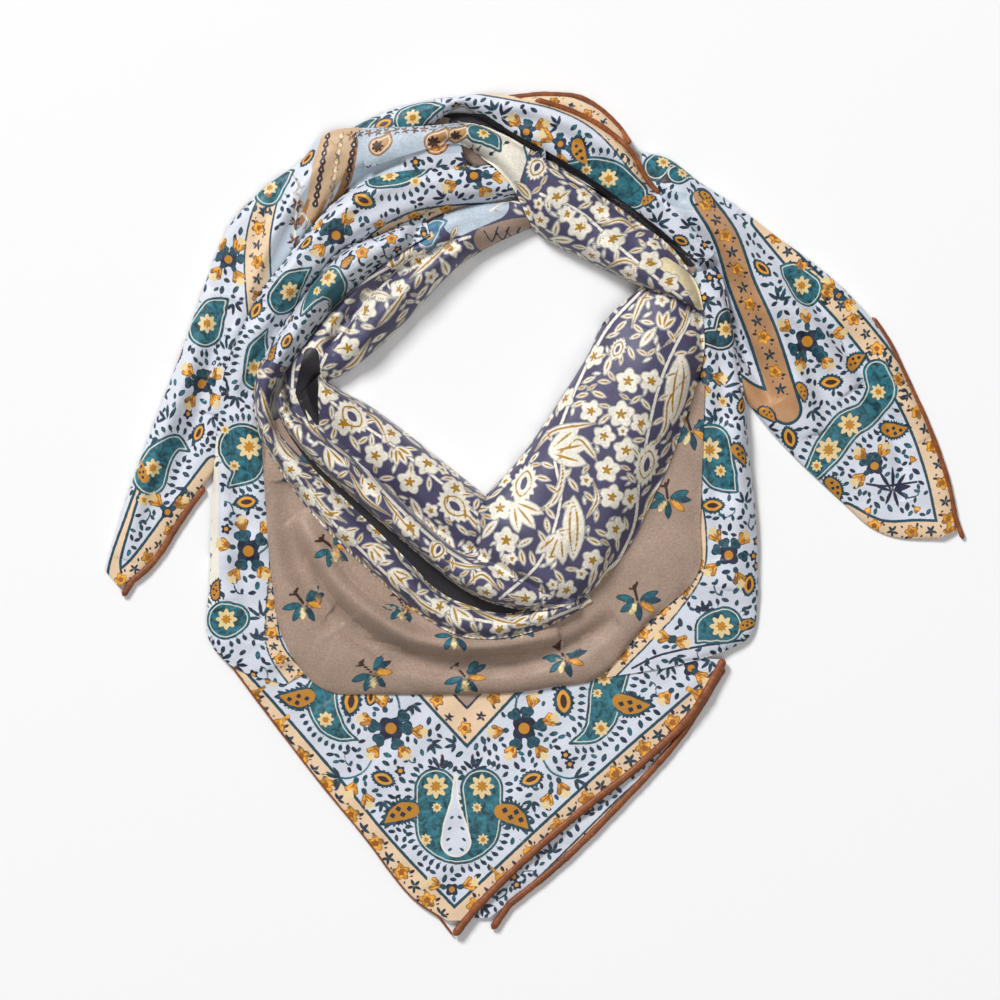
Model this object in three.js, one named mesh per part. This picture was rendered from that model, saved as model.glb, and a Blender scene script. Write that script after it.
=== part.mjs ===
// A silk square scarf, 90 cm wide, folded corner to corner, wound once into a loop and laid flat.
// Units are millimetres, +Z is up, and the scarf lies on the plane z = 0 with its front corner at -Y.
// Each stretch of cloth that shows is one solid: a crowned top between two free edges, and an
// underside that is flat on the table and settles over whatever stretches lie beneath it.
import * as THREE from 'three';

// Driving dimensions
const LEAST_WALL = 1.1; // thinnest the cloth is drawn
const LAYER_GAP = 0.35; // clearance between stretches that lie on each other
const HEM_WIDTH = 2.8; // hand-rolled hem
const HEM_HEIGHT = 2.2;
const HEM_TAPER = 0.6; // width of a hem where it comes out from under a fold
const CELL = 1; // pitch of the height map that the stretches settle on
const MAP_HALF = 240; // half the width of that map
const ROWS_PER_STATION = 2;
const LETTING_DOWN = 14; // passes that settle a stretch on what lies beneath it

const GROUND = '#dfe3f3';
const RUST = '#8a4220';
const FIELD = '#c4b3a8';
const PLUM = '#a59fb0';

// A station across a stretch: [outer edge x, y], [inner edge x, y], height of the crown.
const underPoint = [
  [[-157, -68], [93, -76.5], 1.2],
  [[-118, -119], [70.5, -112], 1.2],
  [[-82, -159], [39.5, -146.5], 1.2],
  [[-55.5, -184], [10, -175.5], 1.2],
  [[-32, -202], [-22.5, -201.5], 1.2],
];
const rightTail = [
  [[52.5, 181], [54.5, 154.5], 9],
  [[67, 177], [68, 134.5], 10],
  [[83, 165], [82, 107], 9],
  [[101, 153.5], [94.5, 79.5], 8],
  [[120.5, 138.5], [103, 60], 7.5],
  [[140, 124.5], [114.5, 44.5], 7],
  [[158.5, 108], [127, 30.5], 6],
  [[174, 89], [140.5, 17.5], 5],
  [[185.5, 66], [154.5, 4.5], 4],
  [[197, 40.5], [167, -6.5], 3],
  [[205.5, 15.5], [181, -12], 2.6],
  [[210, -8], [201, -12.5], 2.2],
];
const topUnder = [
  [[-15, 207], [-13, 194.5], 6],
  [[4.5, 208.8], [3, 187], 7.5],
  [[24, 206.5], [18, 181], 7],
  [[40, 194], [35, 169], 6],
  [[46.5, 184], [43, 162], 5],
];
const neckBack = [
  [[-56, 199], [-54, 186], 4],
  [[-32, 200], [-38, 178], 5],
  [[-8, 188], [-15.5, 162], 5],
  [[28, 164], [19.5, 143], 6],
  [[66, 135.5], [64.5, 119.5], 6],
  [[79.5, 124], [77, 111], 5],
];
const topBand = [
  [[-105, 186], [-99, 178], 5],
  [[-78, 200], [-70, 179], 7],
  [[-62, 205], [-59, 188], 9],
  [[-48, 207.5], [-48, 197], 11],
  [[-37, 208.5], [-37, 203], 12],
  [[-22, 210], [-26, 196.5], 14],
  [[-1, 206], [-7, 184.5], 16],
  [[18, 200], [8, 174.5], 17],
  [[34, 191.5], [24, 165], 17],
  [[47, 180], [42, 154.5], 16],
  [[57, 163.5], [58, 141.5], 15],
  [[71, 150], [72, 130], 13],
  [[88.5, 129.5], [85, 126], 9],
];
const leftTail = [
  [[-40.5, 193], [-33, 169], 10],
  [[-58, 193], [-53, 166], 11],
  [[-79, 192.5], [-70.5, 159.5], 11],
  [[-103, 191], [-85.5, 149.5], 10],
  [[-118, 176], [-100.5, 132], 9],
  [[-137, 162], [-115, 111], 8],
  [[-154, 143], [-125.5, 89.5], 7],
  [[-166.5, 112], [-134, 66], 6.5],
  [[-176, 84.5], [-142, 43], 6],
  [[-195.5, 33.5], [-161.5, 20], 4.5],
  [[-204.5, 8], [-176.5, 0], 3.6],
  [[-211, -13], [-192, -23.5], 2.8],
  [[-215.5, -28], [-208, -37], 2.2],
];
const frontPoint = [
  [[-160.5, -64], [93, -72.5], 2.8],
  [[-137.5, -95], [76.5, -100], 2.8],
  [[-110, -131], [50, -126], 2.8],
  [[-85.5, -161], [22, -148], 2.8],
  [[-63.5, -189.5], [-9, -175], 2.8],
  [[-45, -203], [-37, -203], 2.6],
];
const sideRight = [
  [[90.5, 123], [77, 119.5], 10],
  [[95.5, 107], [80, 101], 11],
  [[104.5, 54.5], [79.5, 54.5], 10],
  [[106, 32], [77.5, 32], 9],
  [[109, 7], [76, 7], 8],
  [[110.5, -18], [76, -15.5], 7],
  [[110.5, -42], [64, -38], 6],
  [[107, -61], [47, -60.5], 5],
  [[88, -70.5], [39.5, -73], 4.6],
  [[64, -77], [35, -81.5], 4.6],
];
const sideLeft = [
  [[4.5, 182], [6, 162], 8],
  [[-18, 175.5], [-12, 158], 11],
  [[-53, 172], [-47, 150], 14.5],
  [[-68, 170.5], [-62, 142], 15],
  [[-84, 166.5], [-74, 135.5], 15],
  [[-99, 157], [-89, 129.5], 14.5],
  [[-113, 142], [-102, 119.5], 14],
  [[-125.5, 126], [-112, 106], 13.5],
  [[-139, 108], [-122, 92], 12.5],
  [[-153.5, 77], [-137, 62], 10],
  [[-157.5, 56], [-136, 42], 9],
  [[-160.5, 27], [-133, 19.5], 8],
  [[-162, -3], [-129.5, -4], 7],
  [[-163, -33], [-127, -31.5], 6],
  [[-164, -61], [-124.5, -55], 5],
  [[-150, -77], [-120, -67], 4.6],
  [[-125.5, -85], [-113, -78], 4.6],
];
const bibField = [
  [[-137, 42], [-110.5, 59.5], 7],
  [[-135, 7], [-98, 37], 8],
  [[-132, -30.5], [-83, 22], 8],
  [[-126, -63], [-68, 7], 7.5],
  [[-107, -87], [-53, -5.5], 7],
  [[-78, -90], [-40.5, -13], 7],
  [[-18, -89.5], [-15.5, -19], 7.5],
  [[7, -86.5], [-3, -17], 7.5],
  [[32, -81], [9.5, -10.5], 7.5],
  [[54.5, -55.5], [22, -0.5], 8],
  [[80, -30.5], [34.5, 14.5], 8],
  [[82, -0.5], [44.5, 32], 8],
  [[84, 64.5], [59.5, 72], 8],
];
const neckLeftInner = [
  [[8, 163], [12, 145], 7],
  [[-10.5, 157], [-3, 142.5], 9],
  [[-45, 150], [-37, 125], 12],
  [[-78.5, 126], [-66.5, 95], 13],
  [[-95, 109.5], [-82, 80.5], 13],
  [[-110, 93], [-95.5, 70], 12],
  [[-122, 77], [-104, 66], 11],
  [[-126, 61], [-109, 56], 8],
  [[-118, 42], [-105, 45], 5],
];
const cowlOuter = [
  [[-55.5, 149.5], [-53, 139], 15],
  [[-79, 139], [-73, 127], 16.5],
  [[-95.5, 132.5], [-86.5, 116], 17],
  [[-107, 121], [-97, 104.5], 17],
  [[-118, 106], [-107.5, 91], 17],
  [[-136, 78], [-123, 69.5], 17],
  [[-140.5, 63], [-128, 60], 17],
  [[-139.5, 47], [-128.5, 48.5], 17],
  [[-134.5, 32.5], [-122.5, 37.5], 17],
  [[-110, -2], [-96.5, 12], 17],
  [[-73.5, -37], [-65, -18.5], 17],
  [[-55, -52], [-49, -35], 17],
  [[-36.5, -61], [-33, -43], 17],
  [[-15.5, -61.5], [-14, -47], 16],
  [[7, -55.5], [7, -44], 15],
  [[28, -44], [25, -37], 14],
];
const cowlInner = [
  [[-117, 61], [-107, 70], 14],
  [[-115, 52], [-103, 65], 15],
  [[-107, 42], [-93, 59.5], 15],
  [[-94.5, 32], [-81.5, 53], 15],
  [[-67, 11], [-55, 33], 15],
  [[-39.5, -13], [-30, 13], 15],
  [[-28, -22], [-19.5, 4], 14],
  [[-15.5, -27], [-8, -5.5], 13],
];
const cowlFront = [
  [[79, 114.5], [56, 116.5], 10],
  [[83.5, 93], [34, 96], 17],
  [[82, 72], [24.5, 77], 22],
  [[68, 29.5], [-1.5, 37], 22],
  [[58.5, 8.5], [-14, 21], 22],
  [[49, -11.5], [-24, 10.5], 22],
  [[37.5, -28], [-29, -1], 22],
  [[23.5, -43], [-30, -12], 22.5],
  [[4.5, -49], [-33, -19], 23],
  [[-15.5, -47.5], [-39, -18], 23],
  [[-33, -41], [-48, -11], 23],
  [[-50, -29], [-59, -1], 23],
  [[-66.5, -15], [-73, 12], 22.5],
  [[-100.5, 14.5], [-104, 39], 21],
  [[-116, 29.5], [-117.5, 48.5], 20],
  [[-126, 43], [-124.5, 57], 18],
  [[-129.5, 54.5], [-125.5, 64], 16],
];
const neckCross = [
  [[84, 98], [71, 107], 19],
  [[80, 114.5], [53, 113], 21],
  [[68, 132], [38, 120], 21],
  [[52, 144.5], [24.5, 127], 19],
  [[34.5, 157], [11, 133.5], 18],
  [[17, 169], [-1, 142], 19],
  [[-0.5, 180], [-11.5, 162], 19],
  [[-17, 189.5], [-24, 175.5], 18],
  [[-33, 195], [-38, 184], 16],
  [[-53, 193.5], [-53, 182], 14.5],
  [[-90, 191], [-85, 172], 11.4],
];

// Stretches from the table up. peak: where the crown stands, 0 at the outer edge and 1 at the
// inner one. roundness: 2 is a round roll, more is a flat sheet with round edges.
// folds: soft ridges (or troughs, below zero) along a line, each with its height and half-width.
const stretches = [
  { name: 'under_point', color: GROUND, stations: underPoint, peak: 0.5, roundness: 8, columns: 5, folds: [] },
  { name: 'right_tail', color: GROUND, stations: rightTail, peak: 0.5, roundness: 3.4, columns: 7,
    folds: [
      { height: 4, width: 7, line: [[62, 165], [98, 128], [125, 80], [140, 40]] },
      { height: -4, width: 8, line: [[84, 128], [99, 92], [118, 55]] },
      { height: 3.5, width: 7, line: [[78, 160], [120, 112], [158, 62]] },
    ] },
  { name: 'top_under', color: GROUND, stations: topUnder, peak: 0.4, roundness: 3, columns: 5, folds: [] },
  { name: 'neck_back', color: FIELD, stations: neckBack, peak: 0.5, roundness: 3, columns: 4, folds: [] },
  { name: 'top_band', color: GROUND, stations: topBand, peak: 0.45, roundness: 2.4, columns: 6, folds: [] },
  { name: 'left_tail', color: GROUND, stations: leftTail, peak: 0.5, roundness: 3.4, columns: 7,
    folds: [
      { height: 3, width: 6, line: [[-100, 184], [-128, 146], [-148, 100], [-163, 50]] },
      { height: -2.5, width: 6, line: [[-66, 178], [-96, 160], [-125, 115]] },
    ] },
  { name: 'front_point', color: GROUND, stations: frontPoint, peak: 0.5, roundness: 8, columns: 8, folds: [] },
  { name: 'side_left', color: GROUND, stations: sideLeft, peak: 0.45, roundness: 2.6, columns: 6, folds: [] },
  { name: 'side_right', color: GROUND, stations: sideRight, peak: 0.45, roundness: 2.8, columns: 6, folds: [] },
  { name: 'bib_field', color: FIELD, stations: bibField, peak: 0.5, roundness: 5, columns: 7,
    folds: [{ height: 5, width: 8, line: [[-112, -5], [-96, -32], [-66, -58], [-30, -68], [0, -65], [30, -50]] }] },
  { name: 'neck_left_inner', color: PLUM, stations: neckLeftInner, peak: 0.35, roundness: 2.4, columns: 7,
    folds: [{ height: -3, width: 4, line: [[-38, 137], [-82, 112], [-105, 80]] }] },
  { name: 'cowl_outer', color: PLUM, stations: cowlOuter, peak: 0.5, roundness: 2.2, columns: 5, folds: [] },
  { name: 'cowl_inner', color: PLUM, stations: cowlInner, peak: 0.8, roundness: 2.2, columns: 6, folds: [] },
  { name: 'cowl_front', color: PLUM, stations: cowlFront, peak: 0.42, roundness: 2.4, columns: 7, folds: [] },
  { name: 'neck_cross', color: PLUM, stations: neckCross, peak: 0.45, roundness: 2.3, columns: 6, folds: [] },
];

// Hems. from and to run along the edge of the stretch, 0 to 1; the tip is where a corner's hem ends,
// [outer x, y], [inner x, y].
const hems = [
  { name: 'hem_under_point', on: 'under_point', edge: 'inner', from: 0, to: 1, tip: [[-20, -208], [-24.5, -205]] },
  { name: 'hem_right_tail', on: 'right_tail', edge: 'outer', from: 0.62, to: 1, tip: [[215.5, -13], [211.5, -12]] },
  { name: 'hem_top_under', on: 'top_under', edge: 'outer', from: 0, to: 1 },
  { name: 'hem_top_band', on: 'top_band', edge: 'outer', from: 0.48, to: 0.86 },
  { name: 'hem_left_tail', on: 'left_tail', edge: 'inner', from: 0.8, to: 1, tip: [[-206.5, -42], [-209, -39]] },
  { name: 'hem_point_left', on: 'front_point', edge: 'outer', from: 0, to: 1, tip: [[-40.8, -212], [-40.8, -206]] },
  { name: 'hem_point_right', on: 'front_point', edge: 'inner', from: 0, to: 1, tip: [[-40.4, -212], [-40.4, -206]] },
];

// Height map: the highest cloth so far over each cell of the table.
const mapSide = (2 * MAP_HALF) / CELL;
const heightMap = new Float32Array(mapSide * mapSide);

function cellAt(x, y) {
  const column = Math.floor((x + MAP_HALF) / CELL);
  const row = Math.floor((y + MAP_HALF) / CELL);
  return row * mapSide + column;
}

function edgeCurve(points) {
  const inSpace = points.map(([x, y]) => new THREE.Vector3(x, y, 0));
  return new THREE.CatmullRomCurve3(inSpace, false, 'catmullrom', 0.5);
}

// A grid of rows by columns of points { x, y, low, high }, closed into one solid further on.
function crownedGrid({ stations, peak, roundness, columns, folds }) {
  const outer = edgeCurve(stations.map((station) => station[0]));
  const inner = edgeCurve(stations.map((station) => station[1]));
  const crown = edgeCurve(stations.map((station, index) => [index, station[2]]));
  const rows = (stations.length - 1) * ROWS_PER_STATION;
  const ridges = folds.map((fold) => ({ ...fold, points: edgeCurve(fold.line).getPoints(40) }));
  const grid = [];
  for (let row = 0; row <= rows; row += 1) {
    const along = row / rows;
    const from = outer.getPoint(along);
    const to = inner.getPoint(along);
    const height = crown.getPoint(along).y;
    grid.push(acrossStretch(from, to, height, { peak, roundness, columns, ridges }));
  }
  return grid;
}

function acrossStretch(from, to, height, { peak, roundness, columns, ridges }) {
  const points = [];
  for (let column = 0; column <= columns; column += 1) {
    const across = (1 - Math.cos((Math.PI * column) / columns)) / 2;
    const fromPeak = across < peak ? (peak - across) / peak : (across - peak) / (1 - peak);
    const shape = Math.max(0, 1 - fromPeak ** roundness) ** (1 / roundness);
    const point = new THREE.Vector3().lerpVectors(from, to, across);
    const fold = ridges.reduce((sum, ridge) => sum + ridgeHeight(point, ridge), 0);
    points.push({ x: point.x, y: point.y, low: 0, high: (height + fold) * shape });
  }
  return points;
}

function ridgeHeight(point, { points, height, width }) {
  const nearest = Math.min(...points.map((other) => other.distanceTo(point)));
  return height * Math.exp(-((nearest / width) ** 2));
}

// The triangles of a grid, as triples of its points.
function trianglesOf(grid) {
  const triangles = [];
  for (let row = 1; row < grid.length; row += 1) {
    for (let column = 1; column < grid[row].length; column += 1) {
      const a = grid[row - 1][column - 1];
      const b = grid[row][column - 1];
      const c = grid[row][column];
      const d = grid[row - 1][column];
      triangles.push([a, b, c], [a, c, d]);
    }
  }
  return triangles;
}

// Calls visit(cell, weights) over points closely spaced in a triangle.
function sampleTriangle([a, b, c], visit) {
  const longest = Math.max(
    Math.hypot(a.x - b.x, a.y - b.y),
    Math.hypot(b.x - c.x, b.y - c.y),
    Math.hypot(c.x - a.x, c.y - a.y),
  );
  const steps = Math.ceil((2 * longest) / CELL);
  for (let i = 0; i <= steps; i += 1) {
    for (let j = 0; j <= steps - i; j += 1) {
      const weights = [i / steps, j / steps, (steps - i - j) / steps];
      const x = weights[0] * a.x + weights[1] * b.x + weights[2] * c.x;
      const y = weights[0] * a.y + weights[1] * b.y + weights[2] * c.y;
      visit(cellAt(x, y), weights);
    }
  }
}

// Lays the underside on the cloth beneath: first lifted clear of every sample, then let down by half
// of what each point has to spare, several times over.
function settle(grid) {
  const contacts = new Map();
  for (const triangle of trianglesOf(grid)) {
    sampleTriangle(triangle, (cell, weights) => {
      if (heightMap[cell] === 0) return;
      const contact = { triangle, weights, need: heightMap[cell] + LAYER_GAP };
      triangle.forEach((point, k) => {
        if (weights[k] === 0) return;
        if (!contacts.has(point)) contacts.set(point, []);
        contacts.get(point).push({ ...contact, own: weights[k] });
        point.low = Math.max(point.low, contact.need);
      });
    });
  }
  for (let pass = 0; pass < LETTING_DOWN; pass += 1) {
    for (const [point, samples] of contacts) {
      const spare = samples.map(({ triangle, weights, need, own }) => (lowAt(triangle, weights) - need) / own);
      const least = spare.reduce((least, one) => Math.min(least, one), Infinity);
      point.low = Math.max(0, point.low - least / 2);
    }
  }
}

function lowAt(triangle, weights) {
  return weights[0] * triangle[0].low + weights[1] * triangle[1].low + weights[2] * triangle[2].low;
}

// Keeps the cloth at least its least wall above its underside, and eases the steps this leaves.
function drape(grid, easings) {
  const points = grid.flat();
  for (const point of points) {
    point.high = Math.max(point.high, point.low + LEAST_WALL);
  }
  for (let pass = 0; pass < easings; pass += 1) {
    const eased = grid.map((line, row) => line.map((point, column) => {
      const before = grid[Math.max(row - 1, 0)][column];
      const after = grid[Math.min(row + 1, grid.length - 1)][column];
      return (before.high + 2 * point.high + after.high) / 4;
    }));
    grid.forEach((line, row) => line.forEach((point, column) => {
      point.high = Math.max(eased[row][column], point.low + LEAST_WALL);
    }));
  }
}

// Records a settled stretch on the height map, over each cell that it touches and their neighbours.
function recordOn(grid) {
  for (const triangle of trianglesOf(grid)) {
    sampleTriangle(triangle, (cell, weights) => {
      const high = weights.reduce((sum, weight, k) => sum + weight * triangle[k].high, 0);
      for (const near of [-mapSide - 1, -mapSide, -mapSide + 1, -1, 0, 1, mapSide - 1, mapSide, mapSide + 1]) {
        heightMap[cell + near] = Math.max(heightMap[cell + near], high);
      }
    });
  }
}

// Closes a grid into a solid: top, underside and a wall round the rim.
function solidOf(grid) {
  const lines = grid.length;
  const width = grid[0].length;
  const positions = [];
  for (const level of ['high', 'low']) {
    for (const point of grid.flat()) positions.push(point.x, point.y, point[level]);
  }
  const top = (row, column) => row * width + column;
  const bottom = (row, column) => lines * width + top(row, column);
  const faces = [];
  for (let row = 1; row < lines; row += 1) {
    for (let column = 1; column < width; column += 1) {
      const corners = [[row - 1, column - 1], [row, column - 1], [row, column], [row - 1, column]];
      const [a, b, c, d] = corners.map((corner) => top(...corner));
      const [e, f, g, h] = corners.map((corner) => bottom(...corner));
      faces.push(a, b, c, a, c, d, e, g, f, e, h, g);
    }
  }
  const wall = (p, q) => faces.push(top(...p), bottom(...q), top(...q), top(...p), bottom(...p), bottom(...q));
  for (let row = 1; row < lines; row += 1) {
    wall([row - 1, 0], [row, 0]);
    wall([row, width - 1], [row - 1, width - 1]);
  }
  for (let column = 1; column < width; column += 1) {
    wall([0, column], [0, column - 1]);
    wall([lines - 1, column - 1], [lines - 1, column]);
  }
  const geometry = new THREE.BufferGeometry();
  geometry.setAttribute('position', new THREE.Float32BufferAttribute(positions, 3));
  geometry.setIndex(facesOut(positions, faces));
  geometry.computeVertexNormals();
  return geometry;
}

// Turns the faces over where the grid runs the other way round.
function facesOut(positions, faces) {
  const corner = (k) => new THREE.Vector3().fromArray(positions, 3 * faces[k]);
  let volume = 0;
  for (let k = 0; k < faces.length; k += 3) {
    volume += corner(k).dot(corner(k + 1).cross(corner(k + 2)));
  }
  return volume > 0 ? faces : faces.reverse();
}

// A rolled hem from the points of a settled stretch's edge, moved out.
function hemGrid({ edge, from, to, tip }, panel) {
  const side = edge === 'outer' ? 0 : panel[0].length - 1;
  const inwards = edge === 'outer' ? 1 : -1;
  const first = Math.round(from * (panel.length - 1));
  const last = Math.round(to * (panel.length - 1));
  const grid = [];
  for (let row = first; row <= last; row += 1) {
    const point = panel[row][side];
    const before = panel[Math.max(row - 1, 0)][side];
    const after = panel[Math.min(row + 1, panel.length - 1)][side];
    const within = panel[row][side + inwards];
    const out = new THREE.Vector2(after.y - before.y, before.x - after.x).normalize();
    const across = new THREE.Vector2(within.x - point.x, within.y - point.y);
    if (out.dot(across) > 0) out.negate();
    const tapered = (row === first && from > 0) || (row === last && to < 1);
    const width = tapered ? HEM_TAPER : HEM_WIDTH;
    const start = new THREE.Vector2(point.x, point.y).addScaledVector(out, LAYER_GAP);
    const end = start.clone().addScaledVector(out, width);
    grid.push(hemSection(start, end));
  }
  if (tip) grid.push(hemSection(new THREE.Vector2(...tip[1]), new THREE.Vector2(...tip[0])));
  return grid;
}

function hemSection(start, end) {
  return [0, 0.25, 0.75, 1].map((across) => {
    const point = start.clone().lerp(end, across);
    const high = HEM_HEIGHT * (across > 0 && across < 1 ? 1 : 0.6);
    return { x: point.x, y: point.y, low: 0, high };
  });
}

const scarf = new THREE.Group();
scarf.name = 'silk_square_scarf';

function addCloth(name, color, grid) {
  const material = new THREE.MeshStandardMaterial({ color, roughness: 0.62, metalness: 0 });
  const mesh = new THREE.Mesh(solidOf(grid), material);
  mesh.name = name;
  scarf.add(mesh);
}

for (const stretch of stretches) {
  const grid = crownedGrid(stretch);
  settle(grid);
  drape(grid, 2);
  const edging = hems.filter((hem) => hem.on === stretch.name);
  const hemGrids = edging.map((hem) => hemGrid(hem, grid));
  for (const hem of hemGrids) {
    settle(hem);
    drape(hem, 0);
  }
  recordOn(grid);
  hemGrids.forEach(recordOn);
  addCloth(stretch.name, stretch.color, grid);
  edging.forEach((hem, index) => addCloth(hem.name, RUST, hemGrids[index]));
}

export default scarf;
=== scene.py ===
"""A silk square scarf, folded corner to corner, wound once into a loop and laid flat.

Lengths are worked out in millimetres and put into the meshes in metres. Each stretch of cloth is a fine
grid between two free edges, crowned like a fold, and laid over the stretches beneath it. Its print is
painted as signed distances, in millimetres, to the outlines of its motifs, kept on the grid's points.
"""

import bpy
import numpy as np
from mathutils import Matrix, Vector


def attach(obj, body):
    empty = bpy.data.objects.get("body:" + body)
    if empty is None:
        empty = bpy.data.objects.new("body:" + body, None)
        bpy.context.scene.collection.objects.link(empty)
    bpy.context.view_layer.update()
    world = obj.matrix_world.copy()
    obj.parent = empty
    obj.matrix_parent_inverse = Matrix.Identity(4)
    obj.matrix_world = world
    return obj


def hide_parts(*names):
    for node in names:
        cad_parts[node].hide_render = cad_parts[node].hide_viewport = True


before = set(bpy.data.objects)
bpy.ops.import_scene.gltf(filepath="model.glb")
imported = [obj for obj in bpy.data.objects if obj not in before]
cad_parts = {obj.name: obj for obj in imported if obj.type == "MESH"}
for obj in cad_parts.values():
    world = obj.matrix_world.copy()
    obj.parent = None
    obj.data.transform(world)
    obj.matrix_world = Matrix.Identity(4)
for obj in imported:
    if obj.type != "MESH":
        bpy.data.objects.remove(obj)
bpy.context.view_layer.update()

MM = 0.001
PITCH = 0.62  # spacing of a cloth grid's points
PLAIN_PITCH = 0.86  # the same where little or no print shows
UNDER_STEP = 4  # the underside of a stretch takes every fourth point of its top
CLOTH = 0.35  # thickness of a stretch, two layers of silk
REST_GAP = 0.3  # how far a stretch's underside stays off the cloth beneath
FAR = 9.0  # a distance that is outside every motif
MAP_HALF = 240.0  # half the side of the height map
MAP_CELL = 0.5
TINY = 1e-9  # keeps a division by a length from failing
SWAY = 0.35  # height of the slow waves that no cloth is free of
SWAY_WAVES = (31.0, 47.0, 19.0)
BLEND = 1.2  # how softly a stretch leaves what it rests on
RING_PITCH = 0.9  # between the rings of a hem's cord
RING_POINTS = 12
FRINGE_GAP = 3.2  # how far a paisley's fringe stands off
FRINGE_PITCH = 3.7
rng = np.random.default_rng(7)


def linear(hex_colour):
    """Turns an sRGB hex colour into linear red, green and blue."""
    srgb = np.array([int(hex_colour[i:i + 2], 16) for i in (1, 3, 5)]) / 255
    return np.where(srgb <= 0.04045, srgb / 12.92, ((srgb + 0.055) / 1.055) ** 2.4)


# Dye colours of the print, and last SHADE, which is no dye but painted shade
ICE = "#d2d7e2"
TEAL = "#276471"
DEEP_TEAL = "#1a4453"
NAVY = "#1c263e"
OCHRE = "#bd8022"
AMBER = "#dc9a34"
BUTTER = "#e6cd98"
PEACH = "#e6c8a6"
CREAM = "#ece6d8"
PLUM = "#4b4766"
BEIGE = "#a58d7d"
BROWN = "#8a5a34"
SEPIA = "#40241a"
MIST = "#b9c6d2"
GOLD = "#ac7f1a"
RUST = "#995220"
# painted shade: near-black put where a fold, groove or hole is too deep for light
SHADE = "#140f16"  # the floor of a fold too deep for light

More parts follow.
